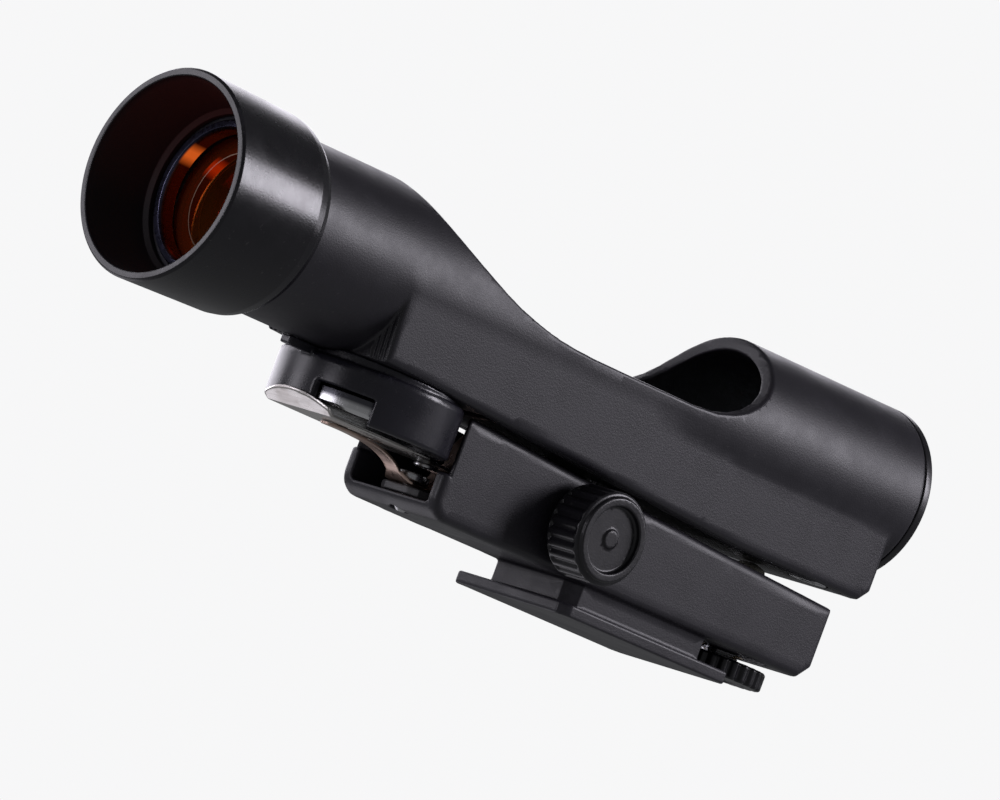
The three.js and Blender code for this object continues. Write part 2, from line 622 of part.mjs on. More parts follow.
function baseBracket() {
  const inner = CHANNEL_INNER_HALF_W;
  const channel = cut(
    side(CHANNEL_OUTLINE, -CHANNEL_HALF_W, CHANNEL_HALF_W),
    box(30, CHANNEL_REAR_S - 1.3, -inner, inner, FLOOR_TOP_H, -5),
    // clearance round the battery drum
    rodZ(DRUM_R + 0.7, -14.95, -5, DRUM_S, 0, 64),
  );
  return cut(
    join(
      channel,
      rodY(3.0, ...AZ_BOSS, AZ_SCREW_S, AZ_SCREW_H, 32),
      rodZ(3.7, FLOOR_BOTTOM_H, BOSS_TOP_H, ALT_SCREW_S, 0, 32),
      // seat for the azimuth spring on the right wall
      rodY(2.2, -inner - 0.3, -inner + 0.35, AZ_SCREW_S, AZ_SCREW_H, 24),
      // neck, then foot
      chamferedPlate(61, 81, 6.0, 1.4, FOOT_TOP_H - 0.2, FLOOR_BOTTOM_H + 0.2),
      chamferedPlate(59, 83, 8.0, 1.0, -AXIS_HEIGHT, FOOT_TOP_H),
    ),
    rodZ(1.05, -21, -17, SWIVEL_S, 0, 24),
    rodZ(INSERT_HOLE_R, -21, -15, ALT_SCREW_S, 0, 28),
    rodY(INSERT_HOLE_R, 4, 8, AZ_SCREW_S, AZ_SCREW_H, 28),
  );
}
addPart('base_bracket', MATERIALS.moulded, baseBracket());

addPart('azimuth_pivot_screw', MATERIALS.brightSteel, cut(
  turnZ([
    [FLOOR_BOTTOM_H + 0.05, 0], [FLOOR_BOTTOM_H + 0.05, 0.98], [-16.45, 0.98], [-16.45, 1.7],
    [-15.9, 1.7], [-15.65, 1.4], [-15.65, 0],
  ], SWIVEL_S, 0, 24),
  box(SWIVEL_S - 0.2, SWIVEL_S + 0.2, -2, 2, -16.05, -15),
));
addPart('azimuth_insert', MATERIALS.brass, cut(
  rodY(INSERT_R, ...AZ_BOSS, AZ_SCREW_S, AZ_SCREW_H, 28),
  rodY(ADJUST_R + 0.06, 4, 8, AZ_SCREW_S, AZ_SCREW_H, 28),
));
addPart('altitude_insert', MATERIALS.brass, cut(
  rodZ(INSERT_R, FLOOR_BOTTOM_H, BOSS_TOP_H, ALT_SCREW_S, 0, 28),
  rodZ(ADJUST_R + 0.06, -21, -15, ALT_SCREW_S, 0, 28),
));

// Coil spring that presses the swivel block against the azimuth screw.
class SpringCurve extends THREE.Curve {
  getPoint(t, target = new THREE.Vector3()) {
    const turns = 4.5;
    const radius = 1.25;
    const length = 3.15;
    const angle = t * turns * Math.PI * 2;
    return target.set(
      xAt(AZ_SCREW_S) + radius * Math.cos(angle),
      -4.75 + t * length,
      zAt(AZ_SCREW_H) + radius * Math.sin(angle),
    );
  }
}
addPart('azimuth_spring', MATERIALS.steel, sweep(new SpringCurve(), 0.22, 56));

// --------------------------------------------------------------- adjusters
// Profiles start at a datum face and run away from it, in direction 1 or -1.
const profileFrom = (datum, direction, profile) => (
  profile.map(([depth, radius]) => [datum + direction * depth, radius])
);
// crown: depth, radius of the points that shape the pad's tip
function padProfile(datum, direction, crown) {
  const skirt = [[0.4, 1.5], [0.7, 1.6], [1.0, 1.6], [1.0, 0]];
  return profileFrom(datum, direction, [...crown, ...skirt]);
}
function screwProfile(datum, direction, end) {
  const tip = [[1.05, 0], [1.05, 1.5], [1.5, ADJUST_R]];
  return [...profileFrom(datum, direction, tip), [end, ADJUST_R], [end, 0]];
}

addPart('azimuth_pad', MATERIALS.pad, turnY(
  padProfile(SWIVEL_HALF_W, 1, [[0.03, 0], [0.12, 0.8]]), AZ_SCREW_S, AZ_SCREW_H, 24,
));
addPart('azimuth_screw', MATERIALS.steel, turnY(
  screwProfile(SWIVEL_HALF_W, 1, 9.0), AZ_SCREW_S, AZ_SCREW_H, 28,
));

function azimuthKnob() {
  const inner = 7.75;
  const outer = 11.9;
  const grip = flutedDisc(4.5, 0.28, 24, outer - inner);
  grip.rotateX(Math.PI / 2);
  grip.translate(xAt(AZ_SCREW_S), outer, zAt(AZ_SCREW_H));
  return cut(
    join(solid(grip), rodY(4.05, 11.7, 12.35, AZ_SCREW_S, AZ_SCREW_H, 36)),
    rodY(3.2, 11.75, 13, AZ_SCREW_S, AZ_SCREW_H, 36),
    rodY(ADJUST_R + 0.04, 7, 9.06, AZ_SCREW_S, AZ_SCREW_H, 28),
  );
}
addPart('azimuth_knob', MATERIALS.satin, azimuthKnob());

const ALT_PAD_TOP_H = bottomAt(ALT_SCREW_S) - 0.04;
addPart('altitude_pad', MATERIALS.pad, turnZ(
  padProfile(ALT_PAD_TOP_H, -1, [[0, 0], [0.1, 0.8]]), ALT_SCREW_S, 0, 24,
));
addPart('altitude_screw', MATERIALS.steel, turnZ(
  screwProfile(ALT_PAD_TOP_H, -1, -20.9), ALT_SCREW_S, 0, 28,
));

function altitudeKnob() {
  const grip = flutedDisc(5.0, 0.3, 26, 1.85).translate(xAt(ALT_SCREW_S), 0, zAt(-21.85));
  return cut(solid(grip), rodZ(ADJUST_R + 0.04, -20.95, -18, ALT_SCREW_S, 0, 28));
}
addPart('altitude_knob', MATERIALS.satin, altitudeKnob());

export default group;
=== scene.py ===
# Red dot finder: detailed pieces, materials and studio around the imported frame.
# The frame is in metres: +X forward along the sight, +Y to the user's left, +Z up. Shape code is
# in millimetres: x runs BACK from the hood's mouth, y to the left, z up from the optical axis.
import json
import math
from collections import namedtuple

import bpy
import numpy as np
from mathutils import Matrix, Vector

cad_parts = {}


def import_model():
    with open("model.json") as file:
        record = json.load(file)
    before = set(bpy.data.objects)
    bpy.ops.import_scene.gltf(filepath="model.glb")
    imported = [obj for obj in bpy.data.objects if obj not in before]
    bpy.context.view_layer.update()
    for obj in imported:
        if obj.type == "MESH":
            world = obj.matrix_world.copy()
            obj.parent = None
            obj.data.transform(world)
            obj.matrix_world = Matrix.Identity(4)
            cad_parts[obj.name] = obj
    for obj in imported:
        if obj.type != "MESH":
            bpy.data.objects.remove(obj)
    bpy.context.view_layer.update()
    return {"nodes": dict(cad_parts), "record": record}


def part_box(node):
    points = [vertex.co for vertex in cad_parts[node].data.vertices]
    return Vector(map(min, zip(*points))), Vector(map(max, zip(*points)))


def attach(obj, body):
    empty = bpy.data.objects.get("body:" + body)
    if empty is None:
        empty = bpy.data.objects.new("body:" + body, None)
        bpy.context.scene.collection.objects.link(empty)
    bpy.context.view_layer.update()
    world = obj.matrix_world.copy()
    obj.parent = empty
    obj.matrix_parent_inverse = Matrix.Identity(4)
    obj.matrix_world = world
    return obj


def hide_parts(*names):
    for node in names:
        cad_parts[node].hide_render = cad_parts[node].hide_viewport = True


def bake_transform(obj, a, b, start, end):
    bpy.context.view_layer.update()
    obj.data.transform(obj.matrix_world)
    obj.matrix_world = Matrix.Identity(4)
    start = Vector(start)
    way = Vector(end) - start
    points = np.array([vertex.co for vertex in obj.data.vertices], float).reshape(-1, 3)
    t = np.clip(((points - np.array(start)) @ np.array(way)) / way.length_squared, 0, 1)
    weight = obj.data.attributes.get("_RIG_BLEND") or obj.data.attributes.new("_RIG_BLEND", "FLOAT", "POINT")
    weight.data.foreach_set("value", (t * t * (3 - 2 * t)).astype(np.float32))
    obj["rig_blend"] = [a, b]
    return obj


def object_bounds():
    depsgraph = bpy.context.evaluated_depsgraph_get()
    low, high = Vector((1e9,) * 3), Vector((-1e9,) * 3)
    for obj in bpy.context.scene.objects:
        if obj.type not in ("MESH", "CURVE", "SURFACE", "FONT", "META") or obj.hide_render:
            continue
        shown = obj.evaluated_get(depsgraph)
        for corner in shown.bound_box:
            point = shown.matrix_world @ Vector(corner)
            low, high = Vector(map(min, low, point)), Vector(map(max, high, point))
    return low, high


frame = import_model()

import openvdb as vdb
from mathutils import Matrix, Vector

MM = 0.001


# ---------------------------------------------------------------- reference sizes from the frame
hood_low, hood_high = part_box("front_hood")
MOUTH = hood_high.x / MM  # frame place of x = 0
AXIS = (hood_low.z + hood_high.z) / 2 / MM  # frame height of z = 0
Extent = namedtuple("Extent", "front rear right left low top")


def extent(node):
    """Limits of a CAD node in shape coordinates."""
    low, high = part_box(node)
    return Extent(MOUTH - high.x / MM, MOUTH - low.x / MM, low.y / MM, high.y / MM,
                  low.z / MM - AXIS, high.z / MM - AXIS)


def middle(size):
    """Middle of an extent, along x and along z."""
    return (size.front + size.rear) / 2, (size.low + size.top) / 2


HOOD = extent("front_hood")
HOUSING = extent("upper_housing")
TUBE_R = HOUSING.top
WINDOW_R = extent("rear_window").top
SEAT_R = WINDOW_R + 0.08
DRUM = extent("battery_drum")
DRUM_R, DRUM_X = DRUM.left, 33.5
CELL = extent("coin_cell")
CELL_R = CELL.left
BRACKET = extent("base_bracket")
AZ_SCREW = extent("azimuth_screw")
AZ_X, AZ_Z = middle(AZ_SCREW)
SCREW_R = (AZ_SCREW.rear - AZ_SCREW.front) / 2  # both adjusting screws
ALT_SCREW = extent("altitude_screw")
ALT_X = middle(ALT_SCREW)[0]
PIN = extent("altitude_pin")
PIN_X, PIN_Z = middle(PIN)
PIVOT_X = middle(extent("azimuth_pivot_screw"))[0]
BRIGHT = extent("brightness_knob")
BRIGHT_X, BRIGHT_Z = middle(BRIGHT)

# Places shared by several pieces
COVER_SCREW_X, COVER_SCREW_Y = 90.8, 5.1
DRUM_SCREW_X, DRUM_SCREW_Y = 29.3, 4.2
CLIP_SCREW_X = 43.7
CLIP_LOW = -14.4
LAMP_Z = -5.7
FLOOR_LOW, FLOOR_TOP = -19.35, -17.95  # floor of the bracket's channel
CHANNEL_HALF, CHANNEL_WALL = 6.7, 1.3

# Underside of the housing's box, front to rear: (x, z)
BOTTOM = [(26.4, -8.1), (45.7, -8.95), (60, -9.6), (78, -10.4), (95.4, -10.4)]
# Trough cut in the top of the tube, front to rear: (x, z)
SADDLE = [
    (26.3, 9.6), (26.3, 8.62), (27.5, 7.85), (28.4, 7.25), (29.5, 6.5), (30.9, 5.65),
    (32.5, 4.78), (34.3, 3.9), (36.2, 3.08), (38.2, 2.28), (40.2, 1.63), (42.3, 1.12),
    (44.3, 0.72), (46.3, 0.43), (48.5, 0.25), (51, 0.14), (56, 0.1), (65.5, 0.1),
    (68.5, 0.32), (70.6, 0.85), (72.3, 1.6), (73.7, 2.6), (74.8, 3.8), (75.6, 5.2),
    (76.1, 6.8), (76.3, 8.62), (76.3, 9.6),
]


def bottom_at(x):
    return float(np.interp(x, [p[0] for p in BOTTOM], [p[1] for p in BOTTOM]))


def raised_bottom(lift, front, rear):
    """Bottom line raised by lift, from rear to front."""
    bends = [(x, z + lift) for x, z in BOTTOM[3:0:-1]]
    return [(rear, bottom_at(rear) + lift)] + bends + [(front, bottom_at(44) + lift)]


def world(points):
    """Shape coordinates in millimetres to the frame, in metres."""
    points = np.asarray(points, float)
    return np.stack([(MOUTH - points[..., 0]) * MM, points[..., 1] * MM,
                     (AXIS + points[..., 2]) * MM], -1)


# ---------------------------------------------------------------- distance fields
# A field is below 0 inside its solid. join, meet and cut take the size of the blend at the seam.
def join(one, other, blend=0):
    if blend == 0:
        return np.minimum(one, other)
    near = np.maximum(blend - np.abs(one - other), 0) / blend
    return np.minimum(one, other) - near * near * (blend * 0.25)


def meet(one, other, blend=0):
    return -join(-one, -other, blend)


def cut(solid, tool, blend=0):
    return meet(solid, -tool, blend)


def slab(along, low, high):
    return meet(low - along, along - high)


def length(one, other):
    return np.sqrt(one ** 2 + other ** 2)


def rounded_box(x, y, z, box, fillet):
    """box is x0, x1, y0, y1, z0, z1."""
    over_x, over_y, over_z = (
        np.abs(place - (low + high) / 2) - (high - low) / 2 + fillet
        for place, low, high in zip((x, y, z), box[::2], box[1::2]))
    outside = np.sqrt(np.maximum(over_x, 0) ** 2 + np.maximum(over_y, 0) ** 2
                      + np.maximum(over_z, 0) ** 2)
    inside = np.minimum(np.maximum(np.maximum(over_x, over_y), over_z), 0)
    return outside + inside - fillet


def cylinder(radial, along, radius, low, high, fillet):
    """Cylinder with rounded ends, from distance off its axis and place along it."""
    over_side = radial - radius + fillet
    over_end = np.abs(along - (low + high) / 2) - (high - low) / 2 + fillet
    outside = np.sqrt(np.maximum(over_side, 0) ** 2 + np.maximum(over_end, 0) ** 2)
    return outside + np.minimum(np.maximum(over_side, over_end), 0) - fillet


def outline(x, y, points):
    """Signed distance to a closed outline, on broadcastable arrays."""
    x, y = np.broadcast_arrays(x, y)
    nearest = np.full(x.shape, 1e9, np.float32)
    sign = np.ones(x.shape, np.float32)
    for i in range(len(points)):
        (last_x, last_y), (next_x, next_y) = points[i - 1], points[i]
        edge_x, edge_y = next_x - last_x, next_y - last_y
        from_x, from_y = x - next_x, y - next_y
        squared = edge_x * edge_x + edge_y * edge_y
        share = np.clip((from_x * -edge_x + from_y * -edge_y) / squared, 0, 1)
        off_x, off_y = from_x + edge_x * share, from_y + edge_y * share
        nearest = np.minimum(nearest, off_x * off_x + off_y * off_y)
        above, below = y >= next_y, y < last_y
        beside = (-edge_x) * from_y > (-edge_y) * from_x
        crossed = (above & below & beside) | (~above & ~below & ~beside)
        sign = np.where(crossed, -sign, sign)
    return (sign * np.sqrt(nearest)).astype(np.float32)


def mirrored(points):
    """Outline closed by the mirror image of points across y = 0."""
    return points + [(x, -y) for x, y in reversed(points)]


def line_distance(x, y, points):
    """Distance to an open line."""
    x, y = np.broadcast_arrays(x, y)
    nearest = np.full(x.shape, 1e9, np.float32)
    for (last_x, last_y), (next_x, next_y) in zip(points[:-1], points[1:]):
        edge_x, edge_y = next_x - last_x, next_y - last_y
        share = np.clip(((x - last_x) * edge_x + (y - last_y) * edge_y)
                        / (edge_x * edge_x + edge_y * edge_y), 0, 1)
        off = (x - last_x - share * edge_x) ** 2 + (y - last_y - share * edge_y) ** 2
        nearest = np.minimum(nearest, off)
    return np.sqrt(nearest)


def spline(points, steps):
    """Smooth (Catmull-Rom) line through points, with steps to each span."""
    knots = np.asarray(points, float)
    knots = np.vstack([2 * knots[0] - knots[1], knots, 2 * knots[-1] - knots[-2]])
    line = []
    for i in range(1, len(knots) - 2):
        before, start, end, after = knots[i - 1:i + 3]
        for t in np.linspace(0, 1, steps, endpoint=False):
            line.append(0.5 * ((2 * start) + (end - before) * t
                               + (2 * before - 5 * start + 4 * end - after) * t ** 2
                               + (3 * start - before - 3 * end + after) * t ** 3))
    line.append(knots[-2])
    return np.array(line)


# ---------------------------------------------------------------- meshes
def mesh_volume(verts, quads, tris):
    faces = np.concatenate([tris, quads[:, [0, 1, 2]], quads[:, [0, 2, 3]]])
    one, two, three = (verts[faces[:, i]] for i in range(3))
    return float(np.einsum("ij,ij->i", one, np.cross(two, three)).sum() / 6)


def make_mesh(name, verts, quads, tris, normals=None, sharp=None):
    """Smooth-shaded object with its faces turned outward."""
    quads = np.asarray(quads, np.int32).reshape(-1, 4)
    tris = np.asarray(tris, np.int32).reshape(-1, 3)
    if mesh_volume(verts, quads, tris) < 0:
        quads, tris = quads[:, ::-1], tris[:, ::-1]
    mesh = bpy.data.meshes.new(name)
    mesh.vertices.add(len(verts))
    mesh.vertices.foreach_set("co", verts.astype(np.float32).ravel())
    corners = np.concatenate([quads.ravel(), tris.ravel()])
    starts = np.concatenate([np.arange(len(quads)) * 4, 4 * len(quads) + np.arange(len(tris)) * 3])
    mesh.loops.add(len(corners))
    mesh.loops.foreach_set("vertex_index", corners)
    mesh.polygons.add(len(starts))
    mesh.polygons.foreach_set("loop_start", starts.astype(np.int32))
    mesh.update(calc_edges=True)
    mesh.validate()
    mesh.polygons.foreach_set("use_smooth", np.ones(len(mesh.polygons), bool))
    if sharp is not None:
        mesh.set_sharp_from_angle(angle=math.radians(sharp))
    if normals is not None:
        mesh.normals_split_custom_set_from_vertices(normals.tolist())
    piece = bpy.data.objects.new(name, mesh)
    bpy.context.scene.collection.objects.link(piece)
    return piece


VOXEL_SCALE = 1.0


def from_field(name, field, size, voxel, adapt):
    """Mesh of the surface where the field is 0, with normals taken from the field."""
    voxel *= VOXEL_SCALE
    low = np.array([size.front, size.right, size.low], float) - 3 * voxel
    high = np.array([size.rear, size.left, size.top], float) + 3 * voxel
    counts = np.ceil((high - low) / voxel).astype(int) + 1
    axes = [(low[i] + voxel * np.arange(counts[i], dtype=np.float32)).astype(np.float32)
            for i in range(3)]
    values = np.broadcast_to(field(*np.ix_(*axes)), tuple(counts)).astype(np.float32)
    values = np.clip(values, -3 * voxel, 3 * voxel)
    grid = vdb.FloatGrid(float(3 * voxel))
    grid.copyFromArray(np.ascontiguousarray(values))
    points, tris, quads = grid.convertToPolygons(isovalue=0.0, adaptivity=adapt)
    points = np.asarray(points, float) * voxel + low
    near = points.astype(np.float32)
    normals = np.stack([field(*(near + step).T) - field(*(near - step).T)
                        for step in np.eye(3, dtype=np.float32) * (0.5 * voxel)], -1)
    normals[:, 0] *= -1  # x runs against the frame's X
    normals /= np.maximum(np.linalg.norm(normals, axis=1, keepdims=True), 1e-9)
    return make_mesh(name, world(points), quads, tris, normals.astype(float))


def filleted(points, closed, steps):
    """Outline (along, radius, fillet) to dense points, with arcs at the corners."""
    corners = [np.array(p[:2], float) for p in points]
    count = len(corners)
    line = []
    for i, corner in enumerate(corners):
        if not closed and i in (0, count - 1):
            line.append(corner)
            continue
        fillet = points[i][2]
        back, ahead = corners[i - 1] - corner, corners[(i + 1) % count] - corner
        back_length, ahead_length = np.linalg.norm(back), np.linalg.norm(ahead)
        back, ahead = back / back_length, ahead / ahead_length
        angle = math.acos(max(-1, min(1, float(back @ ahead))))
        if fillet <= 0 or angle > math.pi - 0.02:
            line.append(corner)
            continue
        trim = min(fillet / math.tan(angle / 2), 0.49 * back_length, 0.49 * ahead_length)
        radius = trim * math.tan(angle / 2)
        inward = (back + ahead) / np.linalg.norm(back + ahead)
        centre = corner + inward * (radius / math.sin(angle / 2))
        start = math.atan2(*(corner + back * trim - centre)[::-1])
        end = math.atan2(*(corner + ahead * trim - centre)[::-1])
        sweep = (end - start + math.pi) % (2 * math.pi) - math.pi
        for k in range(steps + 1):
            turn = start + sweep * k / steps
            line.append(centre + radius * np.array([math.cos(turn), math.sin(turn)]))
    return np.array(line)


def lathe(name, profile, segments, axis="x", at=(0, 0, 0), steps=5, tilt=None, sharp=40):
    """Surface of revolution of (along, radius, fillet) points.

    A profile that starts on the axis is open and ends there too; any other is closed.
    tilt is the x of a pivot on the optical axis and degrees about y.
    """
    closed = profile[0][1] > 0
    line = filleted(profile, closed, steps)
    line = line[[0] + [i for i in range(1, len(line))
                       if np.linalg.norm(line[i] - line[i - 1]) > 1e-5]]
    count = len(line)
    angles = np.arange(segments) / segments * 2 * math.pi
    along = np.repeat(line[:, 0][:, None], segments, 1)
    radius = np.maximum(np.repeat(line[:, 1][:, None], segments, 1), 0)
    columns = [radius * np.cos(angles)[None], radius * np.sin(angles)[None]]
    columns.insert("xyz".index(axis), along)
    points = (np.stack(columns, -1) + at).reshape(-1, 3)
    i = np.arange(count if closed else count - 1)[:, None]
    j = np.arange(segments)[None]
    next_i, next_j = (i + 1) % count, (j + 1) % segments
    quads = np.stack([i * segments + j, i * segments + next_j,
                      next_i * segments + next_j, next_i * segments + j], -1).reshape(-1, 4)
    # a ring of radius 0 becomes one point, and the quads beside it triangles
    remap = np.arange(count * segments)
    for k in range(count):
        if line[k, 1] < 1e-6:
            remap[k * segments:(k + 1) * segments] = k * segments
    used, inverse = np.unique(remap[quads], return_inverse=True)
    quads = inverse.reshape(-1, 4)
    points = points[used]
    start_pole, end_pole = quads[:, 0] == quads[:, 1], quads[:, 2] == quads[:, 3]
    tris = np.concatenate([quads[start_pole][:, [0, 2, 3]], quads[end_pole][:, [0, 1, 2]]])
    quads = quads[~start_pole & ~end_pole]
    if tilt is not None:
        pivot, angle = np.array([tilt[0], 0, 0]), math.radians(tilt[1])
        x, y, z = (points - pivot).T
        points = pivot + np.stack([x * math.cos(angle) + z * math.sin(angle), y,
                                   -x * math.sin(angle) + z * math.cos(angle)], -1)
    return make_mesh(name, world(points), quads, tris, sharp=sharp)


def tube_along(name, points, radius, sides=12):
    """Round bar along shape points, with rounded ends."""
    path = world(points)
    radius *= MM
    tangents = np.gradient(path, axis=0)
    tangents /= np.linalg.norm(tangents, axis=1, keepdims=True)
    helper = np.array([0.0, 0, 1]) if abs(tangents[0][2]) < 0.9 else np.array([0.0, 1, 0])
    normal = np.cross(tangents[0], helper)
    normal /= np.linalg.norm(normal)
    frames = []
    for place, tangent in zip(path, tangents):
        normal = normal - tangent * (normal @ tangent)
        normal /= np.linalg.norm(normal)
        frames.append((place, normal, np.cross(tangent, normal), tangent))
    # stations: frame, shift along the bar, share of the full radius
    ends = [(math.cos(math.asin(w)) * radius * 0.5, max(w, 0.02)) for w in (0.0, 0.45, 0.8)]
    stations = [(frames[0], -shift, share) for shift, share in ends]
    stations += [(station, 0.0, 1.0) for station in frames]
    stations += [(frames[-1], shift, share) for shift, share in reversed(ends)]
    angles = np.arange(sides) / sides * 2 * math.pi
    rings = []
    for (place, one, other, tangent), shift, share in stations:
        circle = np.cos(angles)[:, None] * one + np.sin(angles)[:, None] * other
        rings.append(place + tangent * shift + circle * radius * share)
    last = (len(rings) - 1) * sides
    i, j = np.arange(len(rings) - 1)[:, None], np.arange(sides)[None]
    next_j = (j + 1) % sides
    quads = np.stack([i * sides + j, i * sides + next_j,
                      (i + 1) * sides + next_j, (i + 1) * sides + j], -1).reshape(-1, 4)
    tris = [[0, k + 1, k] for k in range(1, sides - 1)]
    tris += [[last, last + k, last + k + 1] for k in range(1, sides - 1)]
    return make_mesh(name, np.concatenate(rings), quads, tris, sharp=50)


# ---------------------------------------------------------------- node trees
class Nodes:
    """Short hand for the node tree of a material or a world."""

    def __init__(self, owner, output="Material"):
        self.owner = owner
        owner.use_nodes = True
        self.tree = owner.node_tree
        self.tree.nodes.clear()
        self.output = self.node("Output" + output)
        self.places = self.node("TexCoord").outputs
        self.coords = self.places["Object"]

    def node(self, kind, settings={}, numbered={}, **named):
        """New node; inputs by number, or by name with _ for a space. Colours are RGB."""
        node = self.tree.nodes.new("ShaderNode" + kind)
        for key, value in settings.items():
            setattr(node, key, value)
        for key, value in {**numbered, **named}.items():
            socket = node.inputs[key.replace("_", " ") if isinstance(key, str) else key]
            if isinstance(value, bpy.types.NodeSocket):
                self.tree.links.new(value, socket)
            elif socket.type == "RGBA":
                socket.default_value = (*value, 1)
            else:
                socket.default_value = value
        return node

    def value(self, kind, settings={}, numbered={}, **named):
        """First output of a new node."""
        return self.node(kind, settings, numbered, **named).outputs[0]

    def stretch(self, scale, rotate=(0, 0, 0)):
        return self.value("Mapping", Vector=self.coords, Scale=scale, Rotation=rotate)

    def noise(self, scale, detail=2.0, rough=0.5, vector=None):
        return self.value("TexNoise", Vector=vector or self.coords, Scale=scale,
                          Detail=detail, Roughness=rough)

    def cells(self, scale):
        return self.value("TexVoronoi", {"feature": "SMOOTH_F1"}, Vector=self.coords,
                          Scale=scale, Smoothness=0.4)

    def ramp(self, value, over=(0.3, 0.7), to=(0.0, 1.0)):
        return self.value("MapRange", {"clamp": True}, Value=value, From_Min=over[0],
                          From_Max=over[1], To_Min=to[0], To_Max=to[1])

    def math(self, operation, one, other=0.0, clamp=False):
        settings = {"operation": operation, "use_clamp": clamp}
        return self.value("Math", settings, {0: one, 1: other})

    def plus(self, one, other, clamp=False):
        return self.math("ADD", one, other, clamp)

    def minus(self, one, other):
        return self.math("SUBTRACT", one, other)

    def times(self, one, other):
        return self.math("MULTIPLY", one, other)

    def length(self, one, other):
        return self.math("SQRT", self.plus(self.times(one, one), self.times(other, other)))

    def mix(self, share, one, other):
        return self.node("Mix", {"data_type": "RGBA"}, {0: share, 6: one, 7: other}).outputs[2]

    def mix_shader(self, share, one, other):
        return self.value("MixShader", numbered={0: share, 1: one, 2: other})

    def axes(self, vector=None):
        return self.node("SeparateXYZ", numbered={0: vector or self.coords}).outputs

    def off_axis(self):
        """Distance from the optical axis and height above it, in metres."""
        axes = self.axes()
        rise = self.minus(axes["Z"], AXIS * MM)
        return self.length(axes["Y"], rise), rise

    def within(self, away, radius, soft):
        """1 nearer the axis than radius, else 0."""
        return self.ramp(away, over=(radius - soft, radius + soft), to=(1.0, 0.0))

    def bump(self, height, distance, strength=1.0, **normal):
        return self.value("Bump", Height=height, Distance=distance, Strength=strength, **normal)

    def done(self, shader):
        self.tree.links.new(shader, self.output.inputs["Surface"])
        return self.owner


def new_nodes(name):
    return Nodes(bpy.data.materials.new(name))


# ---------------------------------------------------------------- materials (lengths in metres)
def plastic(name, colour, lighter, rough, grain, depth, gloss_spread=0.05, scuff=0.35,
            matt_and_glow_inside=None):
    """Moulding compound: grain, faint flow marks, rubbed edges and dust.

    matt_and_glow_inside is the radius within which the front end is matt, with a painted red glow on its
    upper part.
    """
    net = new_nodes(name)
    fine = net.noise(scale=grain, rough=0.55)
    pits = net.cells(scale=grain * 0.62)
    flow = net.noise(scale=70, detail=3.0, rough=0.6, vector=net.stretch((0.35, 1.0, 1.0)))
    blotch = net.noise(scale=260, detail=4.0, rough=0.62)
    edges = net.ramp(net.node("NewGeometry").outputs["Pointiness"], over=(0.515, 0.60))
    patches = net.ramp(net.noise(scale=420, detail=3.0, rough=0.7), over=(0.42, 0.62))
    wear = net.times(edges, patches)
    specks = net.ramp(net.noise(scale=2600, detail=1.0), over=(0.70, 0.78))
    base = net.mix(net.ramp(blotch, over=(0.35, 0.7), to=(0.0, 0.55)), colour, lighter)
    rubbed = tuple(min(1, 2.6 * c + 0.03) for c in lighter)
    base = net.mix(net.times(wear, scuff), base, rubbed)
    base = net.mix(net.times(specks, 0.10), base, (0.20, 0.19, 0.18))
    gloss = net.plus(net.ramp(flow, to=(rough - gloss_spread, rough + gloss_spread)),
                     net.ramp(blotch, over=(0.4, 0.75), to=(-0.03, 0.05)))
    gloss = net.plus(gloss, net.times(wear, -0.06), clamp=True)
    height = net.plus(net.times(fine, 0.7), net.times(pits, 0.9))
    normal = net.bump(height, distance=depth)
    normal = net.bump(flow, distance=depth * 2.5, strength=0.35, Normal=normal)
    specular = 0.5
    if matt_and_glow_inside:
        # blackened matt inside, with a painted red glow on its upper part: amber light reflected from the
        # lens, painted into the colour
        away, rise = net.off_axis()
        inside = net.within(away, matt_and_glow_inside, soft=0.00008)
        ahead = net.ramp(net.axes()["X"], over=((MOUTH - 9.0) * MM, (MOUTH - 8.5) * MM))
        inside = net.times(inside, ahead)
        matt_black_and_painted_red_glow = net.mix(net.ramp(rise, over=(-0.003, 0.008)),
                        (0.0090, 0.0065, 0.0075), (0.060, 0.0130, 0.0120))
        base = net.mix(inside, base, matt_black_and_painted_red_glow)
        gloss = net.plus(gloss, net.times(inside, 0.34), clamp=True)
        specular = net.minus(specular, net.times(inside, 0.3))
    return net.done(net.value("BsdfPrincipled", Base_Color=base, Roughness=gloss, Normal=normal,
                              Specular_IOR_Level=specular))


